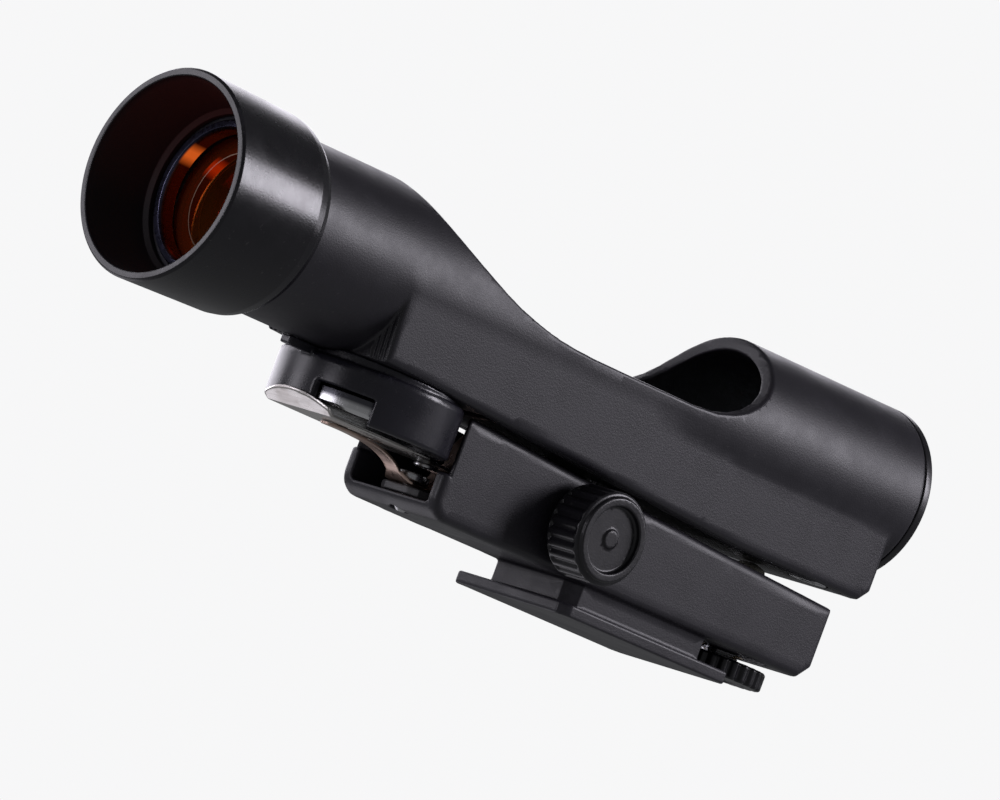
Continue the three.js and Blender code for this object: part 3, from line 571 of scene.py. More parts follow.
def metal(name, colour, darker, rough, lines, depth=0.000006, direction=(1, 1, 1), tarnish=0.45,
          inner=None, band=None):
    """Metal with drawn or turned lines, small scratches and tarnish.

    inner is (radius, colour inside it): a painted amber reflection on the inner wall, with a painted glow
    spot on its upper right; band is (low, high, colour above) in frame height: painted shade above that
    height.
    """
    net = new_nodes(name)
    line = net.noise(scale=lines, detail=4.0, rough=0.65, vector=net.stretch(direction))
    broad = net.noise(scale=300, detail=3.0, rough=0.6)
    scratch = net.noise(scale=900, vector=net.stretch((1, 9, 3), (0.4, 0.7, 0.2)))
    scratch = net.ramp(scratch, over=(0.66, 0.72))
    base = net.mix(net.times(net.ramp(broad, over=(0.4, 0.7)), tarnish), colour, darker)
    base = net.mix(net.times(scratch, 0.3), base, tuple(min(1, c * 1.25) for c in colour))
    glow = {}
    if inner:
        radius, reflected_amber_colour = inner
        away = net.off_axis()[0]
        # painted reflection: inside the radius the wall takes the amber red of light from the lens
        base = net.mix(net.within(away, radius, soft=0.00005), base, reflected_amber_colour)
        # painted amber glow on the upper right of the inner wall: emission standing in for light thrown on
        # it, no lamp
        axes = net.axes()
        spot_y = net.plus(axes["Y"], 0.00560)
        spot_z = net.minus(net.minus(axes["Z"], AXIS * MM), 0.0033)
        painted_glow_spot = net.ramp(net.length(spot_y, spot_z), over=(0.0003, 0.0013), to=(1.0, 0.0))
        painted_glow_spot = net.times(painted_glow_spot, net.within(away, radius, soft=0.00005))
        glow = {"Emission_Color": (1.0, 0.16, 0.02), "Emission_Strength": net.times(painted_glow_spot, 0.55)}
    if band:
        # painted shade: the colour turns darker above the band's height
        base = net.mix(net.ramp(net.axes()["Z"], over=band[:2]), base, band[2])
    gloss = net.plus(net.ramp(line, to=(rough - 0.06, rough + 0.10)),
                     net.ramp(broad, over=(0.35, 0.75), to=(-0.03, 0.10)), clamp=True)
    height = net.plus(line, net.times(scratch, -0.5))
    return net.done(net.value("BsdfPrincipled", Base_Color=base, Roughness=gloss, Metallic=1.0,
                              Normal=net.bump(height, distance=depth), **glow))


def insulation(name, colour):
    net = new_nodes(name)
    blotch = net.noise(scale=900, detail=3.0, rough=0.6)
    darker = tuple(c * 0.7 for c in colour)
    return net.done(net.value(
        "BsdfPrincipled", Base_Color=net.mix(net.ramp(blotch), colour, darker),
        Roughness=net.ramp(blotch, to=(0.38, 0.55)),
        Normal=net.bump(net.noise(scale=2600), distance=0.00001, strength=0.6)))


def coated_glass(name):
    """Part-mirror coating: mirrors amber, passes a deep orange, with a painted red rim and a painted pale
    highlight arc near its rim, stronger toward the top.
    """
    net = new_nodes(name)
    smear = net.noise(scale=140, detail=3.0, rough=0.6,
                      vector=net.stretch((1, 1, 2.2), (0.3, 0, 0)))
    wipe = net.noise(scale=620, vector=net.stretch((1, 0.25, 1.6), (0.5, 0, 0)))
    facing = net.node("LayerWeight", Blend=0.45).outputs["Facing"]
    tint = net.mix(net.ramp(facing, over=(0.1, 0.8)), (0.90, 0.30, 0.05), (1.0, 0.18, 0.02))
    mirror = net.value("BsdfGlossy", Color=tint, Roughness=net.plus(
        net.ramp(smear, over=(0.35, 0.75), to=(0.015, 0.06)),
        net.ramp(wipe, over=(0.5, 0.8), to=(0.0, 0.03))))
    clear = net.value("BsdfTransparent", Color=net.mix(
        net.ramp(smear), (0.72, 0.30, 0.08), (0.60, 0.22, 0.05)))
    away, rise = net.off_axis()
    # painted reflection: the outer zone of the lens coloured red, standing in for the amber-lit wall seen
    # behind it
    painted_red_rim = net.ramp(away, over=(0.00508, 0.00525))
    # painted highlight: a thin pale arc near the rim
    line = net.times(net.ramp(away, over=(0.00494, 0.00501)),
                     net.ramp(away, over=(0.00506, 0.00513), to=(1.0, 0.0)))
    colour = net.mix(painted_red_rim, (0.26, 0.075, 0.012), (0.30, 0.055, 0.012))
    body = net.value("BsdfDiffuse", Color=net.mix(line, colour, (0.90, 0.66, 0.52)),
                     Roughness=0.5)
    glass = net.mix_shader(net.ramp(facing, over=(0.0, 1.0), to=(0.34, 0.80)), clear, mirror)
    # the painted highlight arc grows stronger toward the top
    painted_arc_share = net.times(line, net.ramp(rise, over=(-0.005, 0.004), to=(0.10, 0.42)))
    veil = net.plus(net.ramp(smear, over=(0.3, 0.8), to=(0.03, 0.07)),
                    net.plus(net.times(painted_red_rim, 0.16), painted_arc_share), clamp=True)
    return net.done(net.mix_shader(veil, glass, body))


def clear_glass(name):
    net = new_nodes(name)
    smear = net.noise(scale=120, detail=3.0, rough=0.6)
    dust = net.ramp(net.noise(scale=2300, detail=1.0), over=(0.70, 0.77))
    fresnel = net.node("LayerWeight", Blend=0.35).outputs["Fresnel"]
    mirror = net.value("BsdfGlossy", Color=(0.9, 0.93, 0.95),
                       Roughness=net.ramp(smear, over=(0.35, 0.75), to=(0.01, 0.06)))
    clear = net.value("BsdfTransparent", Color=(0.90, 0.94, 0.95))
    glass = net.mix_shader(net.ramp(fresnel, over=(0.0, 1.0), to=(0.05, 0.95)), clear, mirror)
    body = net.value("BsdfDiffuse", Color=(0.7, 0.7, 0.68))
    return net.done(net.mix_shader(net.plus(0.01, net.times(dust, 0.12)), glass, body))


def lamp_red(name):
    net = new_nodes(name)
    blotch = net.noise(scale=700)
    return net.done(net.value(
        "BsdfPrincipled",
        Base_Color=net.mix(net.ramp(blotch), (0.72, 0.03, 0.02), (0.50, 0.02, 0.015)),
        Roughness=net.ramp(blotch, to=(0.05, 0.16)), Subsurface_Weight=0.25,
        Subsurface_Scale=0.001, Coat_Weight=0.6, Emission_Color=(1.0, 0.05, 0.03),
        Emission_Strength=0.12))


def board(name):
    """Green solder mask with copper tracks under it."""
    net = new_nodes(name)
    wave = net.node("TexWave", {"wave_type": "BANDS", "bands_direction": "Y"},
                    Vector=net.coords, Scale=130.0, Distortion=2.2, Detail=0.0)
    track = net.ramp(wave.outputs["Fac"], over=(0.72, 0.80))
    blotch = net.noise(scale=500, detail=3.0, rough=0.6)
    mask = net.mix(blotch, (0.025, 0.13, 0.05), (0.04, 0.18, 0.07))
    return net.done(net.value(
        "BsdfPrincipled", Base_Color=net.mix(track, mask, (0.09, 0.27, 0.09)),
        Roughness=net.ramp(blotch, to=(0.22, 0.38)), Normal=net.bump(track, distance=0.00003)))


# painted shade: the cell's side darker above this height, so only its lower rim shows bright
CELL_SHADE_BAND = ((AXIS + CELL.low + 0.75) * MM, (AXIS + CELL.low + 1.15) * MM, (0.10, 0.10, 0.115))
# name, maker, its values
MATERIALS = [
    # the box, its cover and the bracket
    ("housing_plastic", plastic, dict(
        colour=(0.0165, 0.0150, 0.0205), lighter=(0.0245, 0.0225, 0.030), rough=0.45, grain=8800,
        depth=0.000008, scuff=0.30)),
    # smoother mouldings
    ("satin_plastic", plastic, dict(
        colour=(0.0065, 0.0060, 0.0085), lighter=(0.0105, 0.0095, 0.013), rough=0.33, grain=7800,
        depth=0.000005, scuff=0.40)),
    # the hood: matt inside, with a painted red glow on the upper inner wall
    ("hood_plastic", plastic, dict(
        colour=(0.0060, 0.0055, 0.0080), lighter=(0.0100, 0.0090, 0.0125), rough=0.27,
        grain=7800, depth=0.000005, scuff=0.40, matt_and_glow_inside=0.00930)),
    ("drum_plastic", plastic, dict(
        colour=(0.0120, 0.0112, 0.0175), lighter=(0.0175, 0.0165, 0.0250), rough=0.31,
        grain=7800, depth=0.000005)),
    ("swivel_plastic", plastic, dict(
        colour=(0.030, 0.029, 0.031), lighter=(0.045, 0.044, 0.047), rough=0.46, grain=6200,
        depth=0.00001, gloss_spread=0.06, scuff=0.3)),
    # the lens ring: its inner wall painted amber red as a painted reflection of the lens, with a painted
    # glow spot
    ("lens_ring_metal", metal, dict(
        colour=(0.10, 0.10, 0.16), darker=(0.05, 0.05, 0.08), rough=0.26, lines=2600,
        direction=(0.3, 1, 1), tarnish=0.5, inner=(0.00660, (0.20, 0.042, 0.012)))),
    ("coated_glass", coated_glass, {}),
    ("clear_glass", clear_glass, {}),
    ("screw_steel", metal, dict(
        colour=(0.60, 0.60, 0.62), darker=(0.40, 0.39, 0.38), rough=0.24, lines=3600)),
    ("spring_strip", metal, dict(
        colour=(0.62, 0.47, 0.40), darker=(0.42, 0.29, 0.24), rough=0.30, lines=3000,
        depth=0.000005, direction=(0.12, 1, 0.12), tarnish=0.6)),
    ("clip_steel", metal, dict(
        colour=(0.63, 0.61, 0.59), darker=(0.42, 0.38, 0.35), rough=0.27, lines=3000,
        direction=(1, 0.12, 1))),
    # the coin cell, with painted shade on its side above a height
    ("cell_steel", metal, dict(
        colour=(0.72, 0.72, 0.73), darker=(0.55, 0.55, 0.57), rough=0.20, lines=2600,
        depth=0.000004, direction=(1, 1, 0.15), tarnish=0.3, band=CELL_SHADE_BAND)),
    ("brass", metal, dict(
        colour=(0.70, 0.50, 0.24), darker=(0.42, 0.27, 0.12), rough=0.28, lines=3000,
        tarnish=0.5)),
    ("board", board, {}),
    ("component", plastic, dict(
        colour=(0.022, 0.045, 0.085), lighter=(0.03, 0.06, 0.11), rough=0.38, grain=6000,
        depth=0.000006, scuff=0.2)),
    ("lamp_red", lamp_red, {}),
    ("wire_red", insulation, dict(colour=(0.42, 0.03, 0.025))),
    ("wire_black", insulation, dict(colour=(0.022, 0.022, 0.024))),
    ("pad_nylon", plastic, dict(
        colour=(0.62, 0.59, 0.51), lighter=(0.70, 0.67, 0.60), rough=0.42, grain=5000,
        depth=0.00001, scuff=0.1)),
]
MAT = {name: maker(name, **values) for name, maker, values in MATERIALS}
SLOT = {part["node"]: part["material_slot"] for part in frame["record"]["subparts"]}
BODY = {node: body for body, nodes in frame["record"]["behaviour"]["bodies"].items()
        for node in nodes}


# ---------------------------------------------------------------- putting pieces in the frame
def finish(piece, node, material=None):
    """Puts a piece in place of its CAD node: the material of its slot, or the one named, and its body."""
    piece.data.materials.append(MAT[material or SLOT[node]])
    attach(piece, BODY[node])
    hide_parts(node)


def moulded(node, name, field, voxel, adapt=0.02, material=None):
    finish(from_field(name, field, extent(node), voxel, adapt), node, material)


def turned(node, name, profile, segments, material=None, **options):
    finish(lathe(name, profile, segments, **options), node, material)


def finish_spring(piece, node, slot, bodies, start, end):
    """Puts a spring in place of its CAD node, bending between two bodies."""
    piece.data.materials.append(MAT[slot])
    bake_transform(piece, *bodies, start=tuple(world(start)), end=tuple(world(end)))
    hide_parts(node)


# ---------------------------------------------------------------- upper housing
def housing(x, y, z):
    side = np.abs(y)
    radial = length(y, z)
    tube = meet(slab(x, HOUSING.front, HOUSING.rear), radial - TUBE_R, 0.25)
    box = outline(x, z, [(25.85, 0.5)] + BOTTOM + [(96.6, -9.2), (96.6, 0.5)])
    half_width = 8.55 - 0.55 * np.clip((x - 60) / 14, 0, 1)
    shape = join(tube, meet(box, side - half_width, 0.8), 0.22)
    seats = join(meet(radial - SEAT_R, x - 11.4), meet(radial - SEAT_R, 93.6 - x))
    shape = cut(shape, join(radial - 7.2, seats), 0.15)
    shape = cut(shape, outline(x, z, SADDLE + [(76.3, 14), (26.3, 14)]), 0.34)
    # bay under the trough, with two screw posts
    post = length(x - COVER_SCREW_X, side - COVER_SCREW_Y)
    bay = outline(x, z, [(29.5, -4), (29.5, -7.3), (44, -7.3), (44, -12), (93.5, -12), (93.5, -4)])
    bay = meet(meet(meet(bay, side - 7.2), 8.3 - radial), 2.3 - post)
    shape = cut(shape, bay, 0.15)
    # seat of the bottom cover
    recess = [(43.92, -13), (93.68, -13)] + raised_bottom(1.05, 43.92, 93.68)
    shape = cut(shape, meet(outline(x, z, recess), side - 7.38), 0.1)
    # hollow pod for the brightness control, and its bore
    shape = join(shape, rounded_box(x, y, z, (55.4, 66.6, -8.0, -3.6, -8.2, -0.2), 0.55), 0.3)
    shape = cut(shape, rounded_box(x, y, z, (56.4, 65.6, -7.3, -4.4, -14, -0.7), 0.1), 0.05)
    bore = length(x - BRIGHT_X, z - BRIGHT_Z) - 1.75
    shape = cut(shape, meet(bore, slab(y, -10, -7)), 0.1)
    # openings in the floor
    for opening in ((66.9, 75.4, -2.1, 2.1, -9.5, -6.4), (33.5, 43.6, -1.4, 1.4, -12, -8.05),
                    (41.4, 43.6, -6.6, 6.6, -12, -7.6)):
        shape = cut(shape, rounded_box(x, y, z, opening, 0.1), 0.05)
    shape = cut(shape, rounded_box(x, side, z, (41.4, 43.6, 4.4, 6.6, -12, -7.0), 0.1), 0.05)
    # screw holes
    drum_hole = length(x - DRUM_SCREW_X, side - DRUM_SCREW_Y) - 0.85
    shape = cut(shape, meet(drum_hole, slab(z, -12, -7.5)))
    shape = cut(shape, meet(post - 0.85, slab(z, -14, -5.6)))
    # fine upright flutes on the box's front face, near both corners
    face = 25.85 + 0.074 * -z
    for flute_y in (6.35, 7.0, 7.65):
        flute = length(x - face + 0.03, side - flute_y) - 0.19
        shape = cut(shape, meet(flute, meet(8.78 - radial, z + 1.5)), 0.06)
    return shape


moulded("upper_housing", "housing_shell", housing, 0.165, 0.04)


# ---------------------------------------------------------------- front end and rear end
# Profiles are (along, radius, fillet).
HOOD_BORE = TUBE_R + 0.06
turned("front_hood", "hood_turned", [
    (0.0, 9.35, 0.14), (0.0, 9.95, 0.12), (0.25, HOOD.top, 0.22), (11.0, 9.85, 1.2),
    (11.9, 9.7, 0.6), (12.6, 9.35, 0.5), (13.0, 8.95, 0.3), (HOOD.rear, HOOD_BORE, 0.04),
    (7.4, HOOD_BORE, 0.04), (7.4, 7.9, 0.06), (6.9, 7.9, 0.1), (6.6, 8.4, 0.15),
], 240, "hood_plastic", steps=6)
RING_R = SEAT_R - 0.06
turned("lens_retaining_ring", "lens_ring_turned", [
    (6.9, 6.75, 0.08), (6.9, 7.3, 0.08), (7.1, RING_R, 0.08), (8.6, RING_R, 0.08),
    (8.6, 6.5, 0.06), (7.3, 6.5, 0.12),
], 200)

LENS_FRONT, LENS_REAR = 9.15, 10.55  # on the axis
LENS_BOW = 232  # twice the radius of curvature
LENS_R, LENS_FACE_R = 7.1, 6.95
lens_edge = LENS_R ** 2 / LENS_BOW


def lens_face(start, radii):
    return [(start + radius * radius / LENS_BOW, radius, 0) for radius in radii]


turned("reflector_lens", "lens_ground", lens_face(LENS_FRONT, np.linspace(0, LENS_FACE_R, 14)) + [
    (LENS_FRONT + lens_edge + 0.12, LENS_R, 0.05), (LENS_REAR + lens_edge - 0.12, LENS_R, 0.05),
] + lens_face(LENS_REAR, np.linspace(LENS_FACE_R, 0, 14)),
    160, tilt=((LENS_FRONT + LENS_REAR) / 2, 2.7), sharp=35)
turned("rear_window", "window_disc", [
    (93.75, 0), (93.75, WINDOW_R, 0.15), (95.0, WINDOW_R, 0.15), (95.0, 0)], 128)
eye_step = HOUSING.rear + 0.05
turned("rear_eye_ring", "eye_ring_turned", [
    (95.1, WINDOW_R, 0.05), (eye_step, WINDOW_R, 0.04), (eye_step, TUBE_R, 0.12),
    (98.9, TUBE_R, 0.25), (99.3, TUBE_R - 0.4, 0.2), (99.3, 6.7, 0.2), (98.6, 6.3, 0.25),
    (97.6, 6.3, 0.05), (97.5, 6.42, 0.05), (97.2, 6.42, 0.05), (97.1, 6.3, 0.05),
    (95.1, 6.3, 0.1),
], 220)


# ---------------------------------------------------------------- bottom cover
# Side view of one pivot lug: (x, z)
LUG = [(61.2, -9.2), (61.2, -13.2), (61.6, -14.6), (62.7, -15.6), (64, -15.95), (65.3, -15.6),
       (66.4, -14.6), (66.8, -13.2), (66.8, -9.6)]


def cover(x, y, z):
    side = np.abs(y)
    front, rear = 44.05, 93.55
    low = [(front, bottom_at(front))] + BOTTOM[1:4] + [(rear, bottom_at(rear))]
    plate = meet(outline(x, z, low + raised_bottom(0.95, front, rear)), side - 7.25, 0.3)
    lugs = meet(outline(x, z, LUG) + 0.02, slab(side, 3.0, 4.2), 0.3)
    shape = join(plate, lugs, 0.25)
    # pin bore, then screw holes and their counterbores
    shape = cut(shape, length(x - PIN_X, z - PIN_Z) - 1.05, 0.08)
    screw = length(x - COVER_SCREW_X, side - COVER_SCREW_Y)
    shape = cut(shape, meet(screw - 1.2, slab(z, -14, -5)), 0.05)
    counterbore = slab(z, -14, bottom_at(COVER_SCREW_X) + 0.45)
    shape = cut(shape, meet(screw - 2.1, counterbore), 0.12)
    # shallow lines along the underside
    groove_top = -9.0 - 0.0436 * (np.clip(x, 45.7, 78) - 45.7) + 0.25
    groove = meet(np.abs(side - 6.2) - 0.22, slab(x, 46, 87))
    return cut(shape, meet(groove, z - groove_top), 0.12)


moulded("bottom_cover", "cover_plate", cover, 0.15, 0.04)


# ---------------------------------------------------------------- battery drum, cell and clip
def drum(x, y, z):
    radial = length(x - DRUM_X, y)
    shape = cylinder(radial, z, DRUM_R, DRUM.low, -9.0, 0.4)
    shape = join(shape, meet(radial - 8.3, slab(z, -9.6, -7.0)), 0.15)
    # tongue in front, post behind
    tongue = rounded_box(x, y, z, (21.4, 27.0, -0.7, 0.7, -9.45, -8.2), 0.18)
    shape = join(shape, tongue, 0.3)
    post = [(41, -1.5), (43.7, -1.5), (44.6, -1.1), (45.1, 0), (44.6, 1.1), (43.7, 1.5), (41, 1.5)]
    shape = join(shape, meet(outline(x, y, post), slab(z, -14.0, -9.2), 0.25), 0.25)
    # top trimmed to the housing's sloping floor and its tube
    shape = meet(shape, z - (-7.85 - 1.15 * (x - 20) / 25.7), 0.1)
    shape = cut(shape, length(y, z) - TUBE_R - 0.05, 0.1)
    # cell pocket, and an opening in the wall at the front left
    shape = cut(shape, meet(radial - CELL_R - 0.25, slab(z, -20, -10.2)), 0.15)
    wedge = outline(x, y, [(DRUM_X - 2, 2.5), (DRUM_X - 14, 1.95), (DRUM_X - 14, 14.2),
                           (DRUM_X - 10.55, 14.2)])
    shape = cut(shape, meet(wedge, slab(z, -20, -11.5), 0.3), 0.22)
    chamfer = ((z + 11.03) * 4.4 + (x - 22.0) * 3.24) / math.hypot(4.4, 3.24)
    shape = meet(shape, -chamfer, 0.12)
    # screw holes, counterbores and the slot for the wires
    screw = length(x - DRUM_SCREW_X, np.abs(y) - DRUM_SCREW_Y)
    shape = cut(shape, meet(screw - 1.2, slab(z, -12, -7)))
    shape = cut(shape, meet(screw - 2.05, slab(z, -12, -9.7)))
    shape = cut(shape, meet(length(x - CLIP_SCREW_X, y) - 0.65, slab(z, -20, -11.6)), 0.05)
    return cut(shape, rounded_box(x, y, z, (35.0, 37.9, -0.9, 0.9, -11, -7), 0.05))


moulded("battery_drum", "drum_moulding", drum, 0.105, 0.03, "drum_plastic")
turned("coin_cell", "cell_can", [
    (CELL.low, 0), (CELL.low, 6.1, 0.3), (CELL.low + 0.08, 6.5, 0.2), (CELL.low, 6.9, 0.3),
    (CELL.low, CELL_R - 0.28, 0.25), (CELL.low + 0.3, CELL_R, 0.22), (-11.68, CELL_R, 0.12),
    (-11.62, CELL_R - 0.5, 0.1), (-11.78, CELL_R - 0.56, 0.05), (-11.78, CELL_R - 0.68, 0.05),
    (-11.5, CELL_R - 0.76, 0.1), (CELL.top, CELL_R - 0.95, 0.15), (CELL.top, 5.4, 0.3),
    (CELL.top - 0.06, 5.1, 0.2), (CELL.top - 0.06, 0),
], 200, axis="z", at=(DRUM_X, 0, 0))


def clip(x, y, z):
    side = outline(x, z, [(24.0, -12.93), (25.8, -14.255), (26.0, -14.375), (26.2, CLIP_LOW),
                          (45.2, CLIP_LOW), (45.2, -14.05), (26.25, -14.05), (26.03, -13.98),
                          (24.3, -12.78)])
    plan = outline(x, y, mirrored([(23, -4.5), (39.6, -4.5), (42.4, -1.7), (45.2, -1.7)]))
    shape = meet(side, plan, 0.12)
    # the bent front follows the drum's round
    radial = length(x - DRUM_X, y)
    shape = meet(shape, join(radial - DRUM_R - 0.25, 30.0 - x), 0.12)
    shape = cut(shape, meet(length(x - CLIP_SCREW_X, y) - 0.95, slab(z, -16, -12)), 0.06)
    # shallow ring groove in the underside
    ring = np.abs(radial - 2.6) - 0.3
    return cut(shape, meet(ring, z + 14.32), 0.08)


moulded("battery_clip", "clip_strip", clip, 0.09, 0.03)


# ---------------------------------------------------------------- screws
def thread(radial, angle, along, major, depth, pitch, hand=1.0):
    """Approximate distance to a thread."""
    phase = along / pitch - hand * angle / (2 * math.pi)
    wave = np.abs(phase - np.floor(phase) - 0.5) * 2
    return (radial - major + depth * np.clip(wave * 1.15, 0, 1)) * 0.8


def vertical_screw(node, name, centre, seat, head_radius, shank_radius, pitch, recess, deep,
                   dome=0.15, voxel=0.06, slotted=False):
    """Screw with its head down and cross-cut, or its head up and slotted.

    seat is the height of the head's inner face; recess is the reach of the cross or half the
    width of the slot, and deep its depth.
    """
    size = extent(node)
    face, end = (size.top, size.low) if slotted else (size.low, size.top)

    def field(x, y, z):
        x, y = x - centre[0], y - centre[1]
        radial = length(x, y)
        head = cylinder(radial, z, head_radius, min(face, seat), max(face, seat), dome)
        shank = meet(thread(radial, np.arctan2(y, -x), z, shank_radius, 0.14, pitch),
                     slab(z, min(seat, end) - 0.1, max(seat, end)))
        past = (end + 0.5) - z if slotted else z - (end - 0.5)
        point = (radial - shank_radius) * 0.7 + np.maximum(0, past) * 0.7
        shape = join(head, meet(shank, point))
        if slotted:
            tool = meet(np.abs(x) - recess, slab(z, face - deep, face + 0.5))
        else:
            arms = join(meet(np.abs(x) - recess, np.abs(y) - 0.2),
                        meet(np.abs(y) - recess, np.abs(x) - 0.2))
            cone = radial - recess * 0.62 + np.maximum(0, z - face) * 0.5
            tool = meet(join(arms, cone), slab(z, face - 0.5, face + deep))
        return cut(shape, tool, 0.04)

    moulded(node, name, field, voxel)


for i, side in ((1, 1), (2, -1)):
    node = f"cover_screw_{i}"
    vertical_screw(node, f"cover_screw_head_{i}", (COVER_SCREW_X, side * COVER_SCREW_Y),
                   seat=extent(node).low + 0.38, head_radius=1.88, shank_radius=0.78,
                   pitch=0.55, recess=1.0, deep=0.25)
for i, side in ((1, 1), (2, -1)):
    node = f"drum_screw_{i}"
    vertical_screw(node, f"drum_screw_head_{i}", (DRUM_SCREW_X, side * DRUM_SCREW_Y),
                   seat=extent(node).low + 0.4, head_radius=1.83, shank_radius=0.78,
                   pitch=0.55, recess=0.9, deep=0.22)
vertical_screw("battery_clip_screw", "clip_screw_head", (CLIP_SCREW_X, 0), seat=-14.44,
               head_radius=1.28, shank_radius=0.58, pitch=0.45, recess=0.72, deep=0.24,
               dome=0.14, voxel=0.05)
vertical_screw("azimuth_pivot_screw", "pivot_screw_head", (PIVOT_X, 0), seat=-16.45,
               head_radius=1.68, shank_radius=0.96, pitch=0.5, recess=0.2, deep=0.4,
               dome=0.22, voxel=0.055, slotted=True)


def adjusting_screw(radial, angle, along, low, high, from_point, hand):
    """Threaded rod with one pointed end; from_point is the distance behind the bevel."""
    rod = meet(thread(radial, angle, along, SCREW_R, 0.36, 0.7, hand), slab(along, low, high))
    return meet(rod, (radial - SCREW_R - from_point) * 0.7)


def azimuth_screw(x, y, z):
    x, z = x - AZ_X, z - AZ_Z
    low, high = AZ_SCREW.right, AZ_SCREW.left
    return adjusting_screw(length(x, z), np.arctan2(z, -x), y, low, high, y - low - 0.5, -1.0)


def altitude_screw(x, y, z):
    x = x - ALT_X
    low, high = ALT_SCREW.low, ALT_SCREW.top
    return adjusting_screw(length(x, y), np.arctan2(y, -x), z, low, high, high - 0.5 - z, 1.0)


moulded("azimuth_screw", "azimuth_screw_threaded", azimuth_screw, 0.075)
moulded("altitude_screw", "altitude_screw_threaded", altitude_screw, 0.075)


# ---------------------------------------------------------------- pin, inserts and pads
AZIMUTH_AXIS = dict(axis="y", at=(AZ_X, 0, AZ_Z))
ALTITUDE_AXIS = dict(axis="z", at=(ALT_X, 0, 0))
INSERT_R, GROOVE_R = 2.54, 2.42
INSERT_BORE, INSERT_MOUTH = SCREW_R + 0.07, SCREW_R + 0.25
turned("altitude_pin", "pivot_pin", [
    (-PIN.left, 0), (-PIN.left, 0.98, 0.18), (-3.9, 0.98, 0.02), (-3.8, 0.9, 0.05),
    (-3.4, 0.9, 0.05), (-3.3, 0.99, 0.05), (PIN.left, 0.99, 0.2), (PIN.left, 0),
], 64, axis="y", at=(PIN_X, 0, PIN_Z))
size = extent("azimuth_insert")
turned("azimuth_insert", "azimuth_insert_turned", [
    (size.right, INSERT_BORE, 0.05), (size.right, INSERT_R, 0.1), (5.9, INSERT_R, 0.05),
    (6.0, GROOVE_R, 0.05), (6.2, GROOVE_R, 0.05), (6.3, INSERT_R, 0.05),
    (size.left, INSERT_R, 0.08), (size.left, INSERT_MOUTH, 0.05),
    (size.left - 0.2, INSERT_BORE, 0.05),
], 96, **AZIMUTH_AXIS)
size = extent("altitude_insert")
turned("altitude_insert", "altitude_insert_turned", [
    (size.low, INSERT_MOUTH, 0.05), (size.low, INSERT_R, 0.08), (-18.4, INSERT_R, 0.05),
    (-18.3, GROOVE_R, 0.05), (-18.0, GROOVE_R, 0.05), (-17.9, INSERT_R, 0.05),
    (size.top, INSERT_R, 0.1), (size.top, INSERT_BORE, 0.05), (size.low + 0.2, INSERT_BORE, 0.05),
], 96, **ALTITUDE_AXIS)

# Domed nose of both pads: (distance behind the tip, radius, fillet)
PAD_NOSE = [(0.02, 0.5, 0.3), (0.12, 0.85, 0.3), (0.4, 1.5, 0.3), (0.7, 1.6, 0.15)]
size = extent("azimuth_pad")
turned("azimuth_pad", "azimuth_pad_turned", [(size.right, 0)] + [
    (size.right + behind, radius, fillet) for behind, radius, fillet in PAD_NOSE
] + [(size.left, 1.6, 0.1), (size.left, 0)], 64, **AZIMUTH_AXIS)
size = extent("altitude_pad")
turned("altitude_pad", "altitude_pad_turned", [(size.low, 0), (size.low, 1.6, 0.1)] + [
    (size.top - behind, radius, fillet) for behind, radius, fillet in reversed(PAD_NOSE)
] + [(size.top, 0)], 64, **ALTITUDE_AXIS)


# ---------------------------------------------------------------- knobs
def flutes(angle, count, sharpness):
    """0 on the ridges and 1 in the hollows."""
    return (0.5 - 0.5 * np.cos(angle * count)) ** sharpness


def azimuth_knob(x, y, z):
    x, z = x - AZ_X, z - AZ_Z
    radial = length(x, z)
    fade = np.clip((11.75 - y) / 0.35, 0, 1) * np.clip((y - 7.95) / 0.3, 0, 1)
    fluted = radial + 0.27 * flutes(np.arctan2(z, x), 24, 1.6) * fade
    shape = cylinder(fluted, y, 4.5, 7.75, 11.95, 0.35)
    # raised rim, dished face and centre boss
    shape = join(shape, cylinder(radial, y, 4.05, 11.5, 12.35, 0.22), 0.15)
    shape = cut(shape, cylinder(radial, y, 3.2, 11.75, 14.0, 0.25), 0.18)
    shape = join(shape, cylinder(radial, y, 0.9, 11.5, 11.95, 0.18), 0.2)
    return cut(shape, meet(radial - SCREW_R - 0.04, y - 9.06), 0.1)


def altitude_knob(x, y, z):
    x = x - ALT_X
    radial = length(x, y)
    fluted = radial + 0.29 * flutes(np.arctan2(y, x), 26, 1.6)
    shape = cylinder(fluted, z, 5.0, -21.85, -20.0, 0.28)
    shape = cut(shape, cylinder(radial, z, 3.5, -23.0, -21.7, 0.1), 0.1)
    return cut(shape, meet(radial - SCREW_R - 0.04, slab(z, -20.95, -18)), 0.1)


def brightness_knob(x, y, z):
    aft, rise = x - BRIGHT_X, z - BRIGHT_Z
    radial = length(aft, rise)
    taper = 0.1 * np.clip((-9.0 - y) / 3.2, 0, 1) * 3.0
    fade = np.clip((y + 12.1) / 0.3, 0, 1) * np.clip((-9.25 - y) / 0.25, 0, 1)
    fluted = radial + taper + 0.17 * flutes(np.arctan2(rise, aft), 30, 1.5) * fade
    face = BRIGHT.right
    shape = cylinder(fluted, y, 5.0, face, -9.0, 0.3)
    shape = cut(shape, cylinder(radial, y, 3.6, -14.5, face + 0.5, 0.1), 0.2)
    # raised mark on the dished face, then the hub and its bore
    mark = (BRIGHT_X - 0.35, BRIGHT_X + 0.35, face + 0.05, face + 0.8,
            BRIGHT_Z + 0.6, BRIGHT_Z + 3.4)
    shape = join(shape, rounded_box(x, y, z, mark, 0.15), 0.1)
    shape = join(shape, cylinder(radial, y, 1.45, -9.3, -8.0, 0.1), 0.2)
    return cut(shape, meet(radial - 0.95, slab(y, -8.8, -7)), 0.05)


